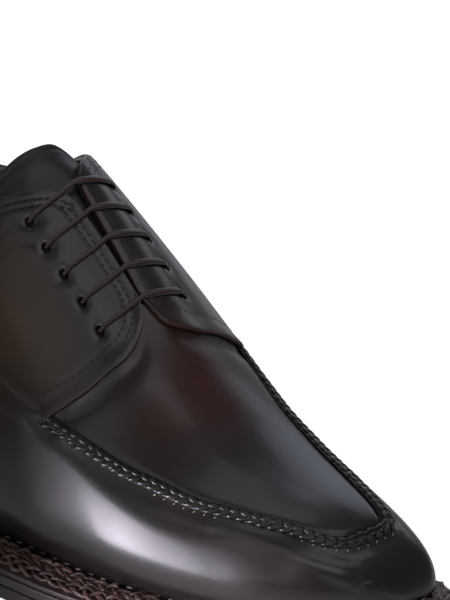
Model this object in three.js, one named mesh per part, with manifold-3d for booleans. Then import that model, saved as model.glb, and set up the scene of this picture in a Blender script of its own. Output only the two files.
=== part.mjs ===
import * as THREE from 'three';
import Module from 'manifold-3d';

// Named sizes in millimetres. +X runs to the toe, +Y to the inner (medial) side, +Z up.
const upperLength = 296;
const ballWidth = 81;
const instepHeight = 96;
const heelHeight = 21;
const toeSpring = 8;
const upperWall = 1.8;
const quarterRise = 1.2;
const stepWidth = 0.5;
const fitGap = 0.3;
const outsoleThickness = 5;
const midsoleThickness = 3.6;
const weltThickness = 1.7;
const weltBandRise = 2.8;
const insoleThickness = 3;
const footLineHeight = 13;
const topPieceThickness = 6;
const heelBlockLength = 74;
const tongueThickness = 1.8;
const apronRidgeHalfWidth = 1.9;
const apronRidgeRise = 1.2;
const eyeletRadius = 1.6;
const eyeletPitch = 7.93;
const eyeletSpread = 0.127;
const eyeletSkew = 1.5;
const laceRadius = 1.1;
const heelLean = 30;
const originShare = 0.115;
const waistStart = 0.203;
const flatStart = 0.558;
const flatEnd = 0.66;

// The last, in shares. Feather widths and bulges are shares of ballWidth, crest of instepHeight,
// bulge, shoulder width and shoulder height are shares within one section.
const lastColumns = ['x', 'footLat', 'footMed', 'bulgeLat', 'bulgeMed', 'bulgeHeight', 'shoulderWidth',
  'shoulderHeight', 'crest', 'spine'];
const lastRows = [
  [0.000, 0.358, 0.358, 0.049, 0.049, 0.300, 0.700, 0.800, 1.042, 0.000],
  [0.090, 0.395, 0.383, 0.049, 0.049, 0.300, 0.680, 0.800, 1.042, 0.000],
  [0.200, 0.407, 0.370, 0.049, 0.062, 0.300, 0.660, 0.800, 1.031, 0.012],
  [0.310, 0.420, 0.333, 0.074, 0.111, 0.320, 0.650, 0.800, 1.048, 0.031],
  [0.423, 0.473, 0.343, 0.084, 0.159, 0.340, 0.613, 0.799, 1.111, 0.052],
  [0.528, 0.543, 0.418, 0.081, 0.147, 0.367, 0.617, 0.792, 1.006, 0.038],
  [0.623, 0.519, 0.484, 0.072, 0.097, 0.353, 0.619, 0.785, 0.765, 0.034],
  [0.706, 0.474, 0.512, 0.077, 0.054, 0.377, 0.640, 0.801, 0.545, 0.020],
  [0.790, 0.421, 0.461, 0.090, 0.030, 0.404, 0.694, 0.847, 0.395, 0.026],
  [0.874, 0.359, 0.388, 0.072, 0.020, 0.400, 0.698, 0.881, 0.325, 0.038],
  [0.948, 0.298, 0.342, 0.069, 0.023, 0.412, 0.685, 0.884, 0.309, 0.073],
  [1.000, 0.258, 0.260, 0.057, 0.032, 0.428, 0.786, 0.927, 0.256, 0.184],
];
// The outer facing lies flat under the laces: place, reaches in shares, push as shares of instepHeight.
const facingHollow = { x: 0.581, share: 0.443, reachX: 0.095, reachShare: 0.055, push: [-0.0138, 0.005, -0.0176] };
const toeCap = { length: 0.1825, widthPower: 2.498, widthRoot: 2.545, heightPower: 2.682, heightRoot: 1.875 };
const heelCap = { length: 0.13, power: 2.1 };

// Side seam of the quarters, then the apron seam: section share on each side along the shoe.
const seamColumns = ['x', 'lateral', 'medial'];
const seamRows = [
  [0.000, 0.130, 0.870],
  [0.200, 0.114, 0.883],
  [0.310, 0.127, 0.867],
  [0.422, 0.157, 0.836],
  [0.507, 0.185, 0.807],
  [0.580, 0.210, 0.787],
  [0.640, 0.217, 0.770],
  [0.664, 0.230, 0.760],
  [0.702, 0.250, 0.748],
  [0.736, 0.267, 0.730],
  [0.778, 0.290, 0.720],
  [0.811, 0.300, 0.710],
  [0.856, 0.320, 0.699],
  [0.886, 0.330, 0.691],
  [0.913, 0.340, 0.682],
  [0.938, 0.352, 0.664],
  [1.000, 0.370, 0.640],
];
// Front of the apron, from the lateral seam round to the medial seam.
const apronFrontRows = [
  [0.948, 0.371],
  [0.953, 0.410],
  [0.954, 0.460],
  [0.954, 0.510],
  [0.953, 0.600],
  [0.948, 0.643],
];
// Topline and facing edges: section share where the wall ends on each side.
const edgeRows = [
  [0.000, 0.222, 0.778],
  [0.051, 0.216, 0.782],
  [0.101, 0.202, 0.793],
  [0.169, 0.188, 0.812],
  [0.236, 0.184, 0.820],
  [0.304, 0.203, 0.804],
  [0.372, 0.238, 0.763],
  [0.439, 0.297, 0.692],
  [0.476, 0.338, 0.645],
  [0.490, 0.358, 0.614],
  [0.502, 0.383, 0.582],
  [0.513, 0.411, 0.552],
  [0.521, 0.440, 0.530],
  [0.528, 0.462, 0.522],
  [0.535, 0.480, 0.518],
  [0.545, 0.485, 0.515],
  [0.580, 0.491, 0.509],
  [0.635, 0.497, 0.503],
  [1.000, 0.497, 0.503],
];
// Front edge of the quarters: distance from the crest in section share, then place along the shoe.
const frontColumns = ['spread', 'lateral', 'medial'];
const frontRows = [
  [0.003, 0.635, 0.637],
  [0.015, 0.641, 0.648],
  [0.028, 0.650, 0.657],
  [0.055, 0.658, 0.663],
  [0.085, 0.664, 0.666],
  [0.120, 0.667, 0.667],
  [0.155, 0.664, 0.663],
  [0.195, 0.660, 0.657],
  [0.240, 0.650, 0.651],
  [0.285, 0.639, 0.645],
];
// Sole edge beyond the foot line, in shares of ballWidth.
const soleColumns = ['x', 'lateral', 'medial'];
const soleRows = [
  [0.00, 0.037, 0.037],
  [0.10, 0.037, 0.037],
  [0.25, 0.045, 0.037],
  [0.42, 0.086, 0.037],
  [0.55, 0.140, 0.062],
  [0.63, 0.154, 0.080],
  [0.72, 0.142, 0.084],
  [0.82, 0.122, 0.074],
  [0.92, 0.098, 0.062],
  [1.00, 0.072, 0.072],
];
// Side edges of the tongue in section share.
const tongueRows = [
  [0.46, 0.300, 0.612],
  [0.50, 0.298, 0.629],
  [0.56, 0.305, 0.654],
  [0.64, 0.325, 0.659],
  [0.71, 0.344, 0.644],
];
const tongueTop = 0.473;
const tongueFront = 0.700;

// Curves through the tables
function naturalCurve(xs, ys) {
  const count = xs.length;
  const bend = new Array(count).fill(0);
  const carry = new Array(count).fill(0);
  for (let i = 1; i < count - 1; i += 1) {
    const before = xs[i] - xs[i - 1];
    const after = xs[i + 1] - xs[i];
    const pivot = 2 * (before + after) - before * carry[i - 1];
    const jump = 6 * ((ys[i + 1] - ys[i]) / after - (ys[i] - ys[i - 1]) / before);
    carry[i] = after / pivot;
    bend[i] = (jump - before * bend[i - 1]) / pivot;
  }
  for (let i = count - 2; i > 0; i -= 1) bend[i] -= carry[i] * bend[i + 1];
  return (value) => {
    const x = Math.min(Math.max(value, xs[0]), xs[count - 1]);
    let i = 0;
    while (i < count - 2 && x > xs[i + 1]) i += 1;
    const step = xs[i + 1] - xs[i];
    const a = (xs[i + 1] - x) / step;
    const b = 1 - a;
    return a * ys[i] + b * ys[i + 1] + ((a ** 3 - a) * bend[i] + (b ** 3 - b) * bend[i + 1]) * step * step / 6;
  };
}
function steadyCurve(xs, ys) {
  const slopes = xs.map((x, i) => {
    if (i === 0 || i === xs.length - 1) return 0;
    const before = (ys[i] - ys[i - 1]) / (xs[i] - xs[i - 1]);
    const after = (ys[i + 1] - ys[i]) / (xs[i + 1] - xs[i]);
    return before * after <= 0 ? 0 : 2 * before * after / (before + after);
  });
  return (value) => {
    const x = Math.min(Math.max(value, xs[0]), xs[xs.length - 1]);
    let i = 0;
    while (i < xs.length - 2 && x > xs[i + 1]) i += 1;
    const step = xs[i + 1] - xs[i];
    const t = (x - xs[i]) / step;
    const rise = t * t * (3 - 2 * t);
    return ys[i] * (1 - rise) + ys[i + 1] * rise
      + step * (slopes[i] * t * (1 - t) * (1 - t) - slopes[i + 1] * t * t * (1 - t));
  };
}
function curvesOf(makeCurve, columns, rows) {
  const first = rows.map((row) => row[0]);
  const curves = {};
  columns.slice(1).forEach((name, k) => {
    curves[name] = makeCurve(first, rows.map((row) => row[k + 1]));
  });
  return curves;
}
const lastCurves = curvesOf(naturalCurve, lastColumns, lastRows);
const seamCurves = curvesOf(steadyCurve, seamColumns, seamRows);
const edgeCurves = curvesOf(steadyCurve, seamColumns, edgeRows);
const frontCurves = curvesOf(steadyCurve, frontColumns, frontRows);
const soleCurves = curvesOf(steadyCurve, soleColumns, soleRows);
const tongueCurves = curvesOf(steadyCurve, seamColumns, tongueRows);

const mix = (a, b, t) => a + (b - a) * t;
const clamp01 = (t) => Math.min(Math.max(t, 0), 1);

// Underside of the sole above the floor: heel seat, waist, flat forefoot, toe spring
function soleUnder(x) {
  const drop = clamp01((x / upperLength - waistStart) / (flatStart - waistStart));
  const spring = Math.max(0, (x / upperLength - flatEnd) / (1 - flatEnd));
  return heelHeight * (1 - drop * drop * (3 - 2 * drop)) + toeSpring * spring * spring;
}

// One section of the last: control points from the lateral foot line over the crest to the medial one
function sectionPoints(x) {
  const share = x / upperLength;
  const size = {};
  Object.keys(lastCurves).forEach((name) => {
    size[name] = lastCurves[name](share);
  });
  const toe = clamp01((share - 1 + toeCap.length) / toeCap.length);
  const heel = clamp01((heelCap.length - share) / heelCap.length);
  const narrow = (1 - toe ** toeCap.widthPower) ** (1 / toeCap.widthRoot) * Math.sqrt(1 - heel ** heelCap.power);
  const height = size.crest * instepHeight * (1 - toe ** toeCap.heightPower) ** (1 / toeCap.heightRoot);
  const base = soleUnder(x) + footLineHeight;
  const spine = size.spine * ballWidth;
  const half = (side, foot, bulge) => {
    const f = foot * ballWidth * narrow;
    const b = bulge * ballWidth * narrow;
    const top = size.shoulderHeight;
    const low = size.bulgeHeight;
    return [
      [f, 0],
      [f + 0.8 * b, 0.35 * low],
      [f + 1.05 * b, low],
      [(f + b) * (1 - 0.35 * (1 - size.shoulderWidth)), low + 0.55 * (top - low)],
      [(f + b) * size.shoulderWidth, top],
      [0.38 * (f + b) * size.shoulderWidth, 1],
      [0, 1],
    ].map(([y, z]) => [spine + side * y, base + z * height]);
  };
  const lateral = half(-1, size.footLat, size.bulgeLat);
  const medial = half(1, size.footMed, size.bulgeMed);
  return lateral.concat(medial.reverse().slice(1));
}
const sectionStore = new Map();
function sectionAt(x) {
  const key = Math.round(x * 1e6);
  if (!sectionStore.has(key)) sectionStore.set(key, sectionPoints(x));
  return sectionStore.get(key);
}
// Point of the outer surface: place along the shoe and share of the section (0 lateral, 1 medial)
function surfacePoint(x, share) {
  const controls = sectionAt(x);
  const degree = 3;
  const spans = controls.length - degree;
  const knot = (i) => Math.min(Math.max(i - degree, 0), spans);
  const t = clamp01(share) * spans;
  const span = Math.min(Math.floor(t), spans - 1) + degree;
  const d = [];
  for (let j = 0; j <= degree; j += 1) d.push(controls[span - degree + j].slice());
  for (let r = 1; r <= degree; r += 1) {
    for (let j = degree; j >= r; j -= 1) {
      const i = j + span - degree;
      const a = (t - knot(i)) / (knot(i + degree - r + 1) - knot(i));
      d[j] = [mix(d[j - 1][0], d[j][0], a), mix(d[j - 1][1], d[j][1], a)];
    }
  }
  const rise = (d[degree][1] - soleUnder(x) - footLineHeight) / instepHeight;
  const fade = clamp01(1 - x / (0.3 * upperLength));
  const lean = heelLean * (rise - 0.25) ** 2 * fade * fade * (3 - 2 * fade);
  const hollow = facingHollow;
  const sink = instepHeight * Math.exp(-(((x / upperLength - hollow.x) / hollow.reachX) ** 4)
    - ((share - hollow.share) / hollow.reachShare) ** 2);
  const [backward, inward, down] = hollow.push;
  return [x + lean + sink * backward, d[degree][0] + sink * inward, d[degree][1] + sink * down];
}
function surfaceNormal(x, share) {
  const x0 = Math.max(x - 0.3, 0);
  const x1 = Math.min(Math.max(x, 0.02) + 0.3, upperLength - 0.01);
  const s0 = clamp01(share - 0.003);
  const s1 = clamp01(share + 0.003);
  const at = Math.min(Math.max(x, 0.02), upperLength - 0.2);
  const along = new THREE.Vector3(...surfacePoint(x1, share)).sub(new THREE.Vector3(...surfacePoint(x0, share)));
  const across = new THREE.Vector3(...surfacePoint(at, s1)).sub(new THREE.Vector3(...surfacePoint(at, s0)));
  const normal = along.cross(across).normalize();
  if (x < 0.02) normal.set(normal.x, 0, normal.z).normalize();
  if (x > upperLength - 0.01) normal.set(1, 0, 0);
  return normal;
}
function raised(x, share, offset) {
  const normal = surfaceNormal(x, share);
  const point = surfacePoint(x, share);
  return [point[0] + normal.x * offset, point[1] + normal.y * offset, point[2] + normal.z * offset];
}

// Closed meshes. Points that fall together are joined, and faces that vanish are left out.
function meshBuilder() {
  const points = [];
  const faces = [];
  const store = new Map();
  const add = (point) => {
    const key = point.map((value) => Math.round(value * 1e4)).join(' ');
    if (!store.has(key)) {
      store.set(key, points.length);
      points.push(point);
    }
    return store.get(key);
  };
  const triangle = (a, b, c) => {
    if (a !== b && b !== c && c !== a) faces.push([a, b, c]);
  };
  const quad = (a, b, c, d) => {
    triangle(a, b, c);
    triangle(a, c, d);
  };
  return { points, faces, add, triangle, quad };
}
// A sheet with thickness: cells between rows of outer points, the same cells inside, walls round the rim
function thickSheet(columns, hasCell) {
  const build = meshBuilder();
  const outer = columns.map((column) => column.map((pair) => build.add(pair[0])));
  const inner = columns.map((column) => column.map((pair) => build.add(pair[1])));
  const twin = new Map();
  outer.forEach((column, i) => column.forEach((id, j) => twin.set(id, inner[i][j])));
  const sheet = [];
  for (let i = 0; i < columns.length - 1; i += 1) {
    for (let j = 0; j < columns[i].length - 1; j += 1) {
      if (hasCell(i, j)) {
        const corners = [outer[i][j], outer[i + 1][j], outer[i + 1][j + 1], outer[i][j + 1]];
        sheet.push([corners[0], corners[1], corners[2]], [corners[0], corners[2], corners[3]]);
      }
    }
  }
  const whole = sheet.filter(([a, b, c]) => a !== b && b !== c && c !== a);
  const used = new Set();
  whole.forEach((face) => face.forEach((a, k) => used.add(`${a} ${face[(k + 1) % 3]}`)));
  whole.forEach((face) => {
    build.triangle(...face);
    build.triangle(twin.get(face[0]), twin.get(face[2]), twin.get(face[1]));
    face.forEach((a, k) => {
      const b = face[(k + 1) % 3];
      if (!used.has(`${b} ${a}`)) build.quad(b, a, twin.get(a), twin.get(b));
    });
  });
  return build;
}

const wasm = await Module();
wasm.setup();
function toSolid(build) {
  return new wasm.Manifold(new wasm.Mesh({
    numProp: 3,
    vertProperties: new Float32Array(build.points.flat()),
    triVerts: new Uint32Array(build.faces.flat()),
  }));
}
function fromSolid(solid) {
  const mesh = solid.getMesh();
  const points = [];
  for (let i = 0; i < mesh.vertProperties.length; i += mesh.numProp) {
    points.push([...mesh.vertProperties.slice(i, i + 3)]);
  }
  const faces = [];
  for (let i = 0; i < mesh.triVerts.length; i += 3) faces.push([...mesh.triVerts.slice(i, i + 3)]);
  return { points, faces };
}

// Foot line in plan, its outward direction, and the sole edge beyond it
const shareSteps = (from, to, count, power = 1) => {
  const list = [];
  for (let i = 0; i < count; i += 1) list.push(mix(from, to, (i / count) ** power));
  return list;
};
const soleStations = [
  ...shareSteps(0, 0.13, 8, 2),
  ...shareSteps(0.13, flatStart, 11),
  ...shareSteps(flatStart, flatEnd, 3),
  ...shareSteps(flatEnd, 0.82, 5),
  ...shareSteps(0, 1, 12).map((t) => 1 - 0.18 * (1 - t) ** 2.4),
  1,
].map((share) => share * upperLength);
function planPoint(x, side) {
  const point = surfacePoint(x, side === 'lateral' ? 0 : 1);
  return new THREE.Vector2(point[0], point[1]);
}
function planOutward(x, side) {
  if (x <= 0) return new THREE.Vector2(-1, 0);
  if (x >= upperLength) return new THREE.Vector2(1, 0);
  const step = Math.min(0.5, x, upperLength - x);
  const along = planPoint(x + step, side).sub(planPoint(x - step, side)).normalize();
  return side === 'lateral' ? new THREE.Vector2(along.y, -along.x) : new THREE.Vector2(-along.y, along.x);
}
function planOffset(x, side, distance) {
  const point = planPoint(x, side).addScaledVector(planOutward(x, side), distance);
  return [point.x, point.y];
}
const soleReach = (x, side) => soleCurves[side](x / upperLength) * ballWidth;

// A slab between the two sides of the shoe, in levels from bottom to top
function slab(stations, levels) {
  const build = meshBuilder();
  const rows = levels.map((level) => ['lateral', 'medial'].map((side) => stations.map((x) => {
    const [px, py] = planOffset(x, side, level.reach(x, side));
    return build.add([px, py, level.height(px)]);
  })));
  const last = stations.length - 1;
  for (let i = 0; i < last; i += 1) {
    const low = rows[0];
    const high = rows[rows.length - 1];
    build.quad(low[0][i], low[1][i], low[1][i + 1], low[0][i + 1]);
    build.quad(high[0][i], high[0][i + 1], high[1][i + 1], high[1][i]);
    for (let k = 0; k < rows.length - 1; k += 1) {
      build.quad(rows[k][0][i], rows[k][0][i + 1], rows[k + 1][0][i + 1], rows[k + 1][0][i]);
      build.quad(rows[k][1][i + 1], rows[k][1][i], rows[k + 1][1][i], rows[k + 1][1][i + 1]);
    }
  }
  for (let k = 0; k < rows.length - 1; k += 1) {
    build.quad(rows[k][0][last], rows[k][1][last], rows[k + 1][1][last], rows[k + 1][0][last]);
  }
  return build;
}
const above = (height) => (x) => soleUnder(x) + height;
const reachLess = (inset) => (x, side) => soleReach(x, side) - inset;

const outsole = slab(soleStations, [
  { reach: reachLess(1.2), height: above(0) },
  { reach: reachLess(0.2), height: above(0.8) },
  { reach: reachLess(0.2), height: above(outsoleThickness - 0.6) },
  { reach: reachLess(0.8), height: above(outsoleThickness) },
]);
const midsoleLow = outsoleThickness + fitGap;
const midsoleHigh = midsoleLow + midsoleThickness;
const midsole = slab(soleStations, [
  { reach: reachLess(0.6), height: above(midsoleLow) },
  { reach: reachLess(0), height: above(midsoleLow + 0.5) },
  { reach: reachLess(0), height: above(midsoleHigh - 0.5) },
  { reach: reachLess(0.4), height: above(midsoleHigh) },
]);
const weltLow = midsoleHigh + fitGap;
const insoleInset = upperWall + 2 * fitGap;
const insole = slab(soleStations, [
  { reach: () => -insoleInset, height: above(weltLow) },
  { reach: () => -insoleInset, height: above(weltLow + insoleThickness) },
]);

// Heel block and top piece, cut off at the heel breast
const heelStations = soleStations.filter((x) => x < heelBlockLength - 3).concat(heelBlockLength);
const heelTaper = (level) => (x, side) => soleReach(x, side) - 0.6 - level;
const heelStack = slab(heelStations, [
  { reach: heelTaper(1.6), height: () => topPieceThickness + fitGap },
  { reach: heelTaper(0.4), height: (x) => mix(topPieceThickness, soleUnder(x), 0.6) },
  { reach: heelTaper(0), height: (x) => soleUnder(x) - fitGap },
]);
const topPiece = slab(heelStations, [
  { reach: heelTaper(2.6), height: () => 0 },
  { reach: heelTaper(1.9), height: () => 0.7 },
  { reach: heelTaper(1.7), height: () => topPieceThickness },
]);

// Welt: a ring round the foot line, with the plaited band raised beside the upper
function weltRing() {
  const build = meshBuilder();
  const walk = [
    ...soleStations.map((x) => [x, 'lateral']),
    ...soleStations.slice(1, -1).reverse().map((x) => [x, 'medial']),
  ];
  const rings = walk.map(([x, side]) => {
    const reach = soleReach(x, side) - fitGap;
    const band = Math.min(6, 0.6 * reach);
    return [
      [0, 0],
      [reach, 0],
      [reach, weltThickness - 0.5],
      [reach - 0.4, weltThickness],
      [band + 0.3, weltThickness],
      [band, weltThickness + 0.35 * weltBandRise],
      [0.66 * band, weltThickness + weltBandRise],
      [0.4 * band, weltThickness + weltBandRise],
      [0, footLineHeight - weltLow - 0.3],
    ].map(([out, up]) => {
      const [px, py] = planOffset(x, side, fitGap + out);
      return build.add([px, py, soleUnder(px) + weltLow + up]);
    });
  });
  rings.forEach((ring, i) => {
    const next = rings[(i + 1) % rings.length];
    ring.forEach((id, k) => {
      const after = (k + 1) % ring.length;
      build.quad(id, next[k], next[after], ring[after]);
    });
  });
  return build;
}
const welt = weltRing();

// Upper wall. Columns bend with the front edge of the quarters, rows follow the seam and the topline.
const rearEnd = 0.473;
const foreEnd = 0.76;
const columns = [
  ...shareSteps(0, 0.13, 7, 2).map((x) => ({ rear: x })),
  ...shareSteps(0.13, rearEnd, 8).map((x) => ({ rear: x })),
  ...shareSteps(0, 1, 11).map((t) => ({ middle: t })),
  { middle: 1 },
  ...shareSteps(0, 1, 5).map((t) => ({ fore: t })),
  ...shareSteps(0, 1, 15).map((t) => ({ rear: 1 - (1 - foreEnd) * (1 - t) ** 2.1 })),
  { rear: 1 },
];
const lowRows = 4;
const highRows = 8;
const sideRows = [-1];
for (let j = 0; j <= lowRows; j += 1) sideRows.push(j / lowRows);
for (let j = 0; j <= highRows; j += 1) sideRows.push(1 + j / highRows);
const cornerShare = 0.640;
function gridPoint(column, row, side) {
  const up = Math.max(row - 1, 0);
  const corner = seamCurves[side](cornerShare);
  const spread = Math.abs(mix(corner, edgeCurves[side](cornerShare), up) - 0.5);
  const front = frontCurves[side](spread);
  const stepShare = stepWidth / upperLength;
  let x = column.rear;
  if (column.middle !== undefined) x = mix(rearEnd, front, column.middle);
  if (column.fore !== undefined) x = mix(front + stepShare, foreEnd, column.fore);
  const seam = seamCurves[side](x);
  const edge = edgeCurves[side](x);
  return { x: x * upperLength, share: row <= 1 ? mix(side === 'lateral' ? 0 : 1, seam, row) : mix(seam, edge, up) };
}
function upperPair(column, rowIndex, side) {
  const row = sideRows[rowIndex];
  const isQuarter = column.fore === undefined && (column.middle !== undefined || column.rear < rearEnd);
  if (row <= 0) {
    const { x } = gridPoint(column, 0, side);
    const height = row < 0 ? soleUnder(x) + weltLow : soleUnder(x) + footLineHeight;
    const wallAt = (distance) => {
      const [px, py] = planOffset(x, side, distance);
      return [px, py, height];
    };
    return [wallAt(0), wallAt(-upperWall)];
  }
  const { x, share } = gridPoint(column, row, side);
  const isStep = rowIndex === lowRows + 2;
  const nudge = isStep ? 0.004 * (side === 'lateral' ? 1 : -1) : 0;
  const rise = isQuarter && rowIndex >= lowRows + 2 ? quarterRise : 0;
  return [raised(x, share + nudge, rise), raised(x, share + nudge, -upperWall)];
}
const sideCount = sideRows.length;
const upperColumns = columns.map((column) => {
  const lateral = sideRows.map((row, j) => upperPair(column, j, 'lateral'));
  const medial = sideRows.map((row, j) => upperPair(column, j, 'medial'));
  return lateral.concat(medial.reverse());
});
const bridgeStart = columns.findIndex((column) => column.fore === 0);
const upperWallMesh = thickSheet(upperColumns, (i, j) => j !== sideCount - 1 || i >= bridgeStart);

// Apron seam: a rounded ridge swept along the lateral seam, the front and the medial seam
function apronRidge() {
  const lateral = seamRows.filter((row) => row[0] > 0.63 && row[0] < 0.95).map((row) => [row[0], row[1]]);
  const medial = seamRows.filter((row) => row[0] > 0.63 && row[0] < 0.95).map((row) => [row[0], row[2]]);
  const path = lateral.concat(apronFrontRows, medial.reverse())
    .map(([x, share]) => new THREE.Vector3(x * upperLength, share * 150, 0));
  const line = new THREE.CatmullRomCurve3(path, false, 'centripetal');
  const count = 52;
  const samples = line.getSpacedPoints(count).map((p) => ({ x: p.x, share: p.y / 150 }));
  const centres = samples.map((s) => new THREE.Vector3(...surfacePoint(s.x, s.share)));
  const build = meshBuilder();
  const corners = 6;
  const rings = samples.map((s, i) => {
    const normal = surfaceNormal(s.x, s.share);
    const along = centres[Math.min(i + 1, count)].clone().sub(centres[Math.max(i - 1, 0)]).normalize();
    const across = new THREE.Vector3().crossVectors(normal, along).normalize();
    const ring = [];
    for (let k = 0; k < corners; k += 1) {
      const angle = 2 * Math.PI * k / corners;
      const point = centres[i].clone()
        .addScaledVector(across, apronRidgeHalfWidth * Math.cos(angle))
        .addScaledVector(normal, apronRidgeRise * Math.sin(angle));
      ring.push(build.add(point.toArray()));
    }
    return ring;
  });
  for (let i = 0; i < count; i += 1) {
    for (let k = 0; k < corners; k += 1) {
      const after = (k + 1) % corners;
      build.quad(rings[i][k], rings[i][after], rings[i + 1][after], rings[i + 1][k]);
    }
  }
  for (let k = 1; k < corners - 1; k += 1) {
    build.triangle(rings[0][0], rings[0][k + 1], rings[0][k]);
    build.triangle(rings[count][0], rings[count][k], rings[count][k + 1]);
  }
  return build;
}

// A round bar along a list of points, closed at both ends
function bar(points, radius, corners) {
  const build = meshBuilder();
  const last = points.length - 1;
  let side = null;
  const rings = points.map((point, i) => {
    const along = points[Math.min(i + 1, last)].clone().sub(points[Math.max(i - 1, 0)]).normalize();
    if (side === null) side = new THREE.Vector3(1, 0, 0);
    side = side.clone().addScaledVector(along, -side.dot(along)).normalize();
    const other = new THREE.Vector3().crossVectors(along, side);
    const ring = [];
    for (let k = 0; k < corners; k += 1) {
      const angle = 2 * Math.PI * k / corners;
      const place = point.clone().addScaledVector(side, radius * Math.cos(angle))
        .addScaledVector(other, radius * Math.sin(angle));
      ring.push(build.add(place.toArray()));
    }
    return ring;
  });
  for (let i = 0; i < last; i += 1) {
    for (let k = 0; k < corners; k += 1) {
      const after = (k + 1) % corners;
      build.quad(rings[i][k], rings[i][after], rings[i + 1][after], rings[i + 1][k]);
    }
  }
  for (let k = 1; k < corners - 1; k += 1) {
    build.triangle(rings[0][0], rings[0][k + 1], rings[0][k]);
    build.triangle(rings[last][0], rings[last][k], rings[last][k + 1]);
  }
  return build;
}

// Eyelet places, holes, and the lace bars that run between them
const eyelets = [0, 1, 2, 3, 4].map((k) => {
  const x = 0.528 * upperLength + k * eyeletPitch;
  return {
    lateral: { x, share: 0.5 - eyeletSpread },
    medial: { x: x - eyeletSkew, share: 0.5 + eyeletSpread },
  };
});
function eyeletHole(place) {
  const normal = surfaceNormal(place.x, place.share);
  const centre = new THREE.Vector3(...surfacePoint(place.x, place.share));
  const ends = [-upperWall - 2, quarterRise + 2].map((offset) => centre.clone().addScaledVector(normal, offset));
  return toSolid(bar(ends, eyeletRadius, 8));
}
function laceBar(pair) {
  const lift = quarterRise + fitGap + laceRadius;
  const points = [];
  const place = (t, offset) => {
    const x = mix(pair.lateral.x, pair.medial.x, t);
    return new THREE.Vector3(...raised(x, mix(pair.lateral.share, pair.medial.share, t), offset));
  };
  points.push(place(0, 0.1 - upperWall), place(0, 0.4), place(0, quarterRise + 0.4));
  for (let i = 0; i <= 8; i += 1) points.push(place(mix(0.045, 0.955, i / 8), lift));
  points.push(place(1, quarterRise + 0.4), place(1, 0.4), place(1, 0.1 - upperWall));
  return bar(points, laceRadius, 6);
}

let upperSolid = toSolid(upperWallMesh).add(toSolid(apronRidge()));
eyelets.forEach((pair) => {
  upperSolid = upperSolid.subtract(eyeletHole(pair.lateral)).subtract(eyeletHole(pair.medial));
});
const upper = fromSolid(upperSolid.simplify(0.02));

// Tongue: a bent sheet under the facings that stands above the topline
const tongueRun = 12;
const tongueAcross = 12;
const tongueTopOffset = -(upperWall + 2.7 * fitGap);
const tonguePairs = [];
for (let i = 0; i <= tongueRun; i += 1) {
  const column = [];
  for (let j = 0; j <= tongueAcross; j += 1) {
    const r = 2 * j / tongueAcross - 1;
    const top = tongueTop + 0.040 * Math.abs(r) ** 8 - 0.025 * Math.min(r, 0) ** 2;
    const x = mix(top, tongueFront - 0.02 * r * r, i / tongueRun);
    const share = mix(tongueCurves.lateral(x), tongueCurves.medial(x), (r + 1) / 2);
    column.push([
      raised(x * upperLength, share, tongueTopOffset),
      raised(x * upperLength, share, tongueTopOffset - tongueThickness),
    ]);
  }
  tonguePairs.push(column);
}
const tongue = thickSheet(tonguePairs, () => true);

// Everything is placed with the origin under the centre of the heel
const group = new THREE.Group();
const origin = [originShare * upperLength, 0, 0];
const finishes = {
  upper: { color: 0x2a2223, roughness: 0.35 },
  tongue: { color: 0x2c2527, roughness: 0.45 },
  sole: { color: 0x4a4144, roughness: 0.6 },
  welt: { color: 0x4b3430, roughness: 0.6 },
  insole: { color: 0x8a6a4a, roughness: 0.8 },
  rubber: { color: 0x1c1a1b, roughness: 0.85 },
  lace: { color: 0x3a2426, roughness: 0.7 },
};
function place(name, build, finish) {
  const positions = new Float32Array(build.faces.length * 9);
  build.faces.forEach((face, f) => face.forEach((id, k) => {
    for (let axis = 0; axis < 3; axis += 1) {
      positions[f * 9 + k * 3 + axis] = build.points[id][axis] - origin[axis];
    }
  }));
  const geometry = new THREE.BufferGeometry();
  geometry.setAttribute('position', new THREE.BufferAttribute(positions, 3));
  geometry.computeVertexNormals();
  const mesh = new THREE.Mesh(geometry, new THREE.MeshStandardMaterial({ metalness: 0, ...finishes[finish] }));
  mesh.name = name;
  group.add(mesh);
}
place('outsole', outsole, 'sole');
place('midsole', midsole, 'sole');
place('welt', welt, 'welt');
place('heel_stack', heelStack, 'sole');
place('top_piece', topPiece, 'rubber');
place('upper', upper, 'upper');
place('tongue', tongue, 'tongue');
place('insole', insole, 'insole');
eyelets.forEach((pair, k) => place(`lace_bar_${k + 1}`, laceBar(pair), 'lace'));

export default group;
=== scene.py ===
import math
import bpy
import bmesh
import numpy as np
from mathutils import Matrix, Vector
from mathutils.kdtree import KDTree


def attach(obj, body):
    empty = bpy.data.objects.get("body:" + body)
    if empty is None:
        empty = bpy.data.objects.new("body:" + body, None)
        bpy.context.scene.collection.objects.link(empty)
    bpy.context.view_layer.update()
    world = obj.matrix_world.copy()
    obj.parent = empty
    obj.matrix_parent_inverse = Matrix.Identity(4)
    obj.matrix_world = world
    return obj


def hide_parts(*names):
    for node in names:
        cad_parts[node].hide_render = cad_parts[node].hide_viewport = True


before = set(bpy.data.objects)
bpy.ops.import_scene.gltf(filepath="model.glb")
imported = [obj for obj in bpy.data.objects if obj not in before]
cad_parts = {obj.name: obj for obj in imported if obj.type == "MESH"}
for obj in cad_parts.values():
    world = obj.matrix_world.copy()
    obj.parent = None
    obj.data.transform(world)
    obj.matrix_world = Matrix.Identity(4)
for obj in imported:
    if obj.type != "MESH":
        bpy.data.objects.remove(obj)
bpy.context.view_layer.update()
print("frame loaded")

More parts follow.
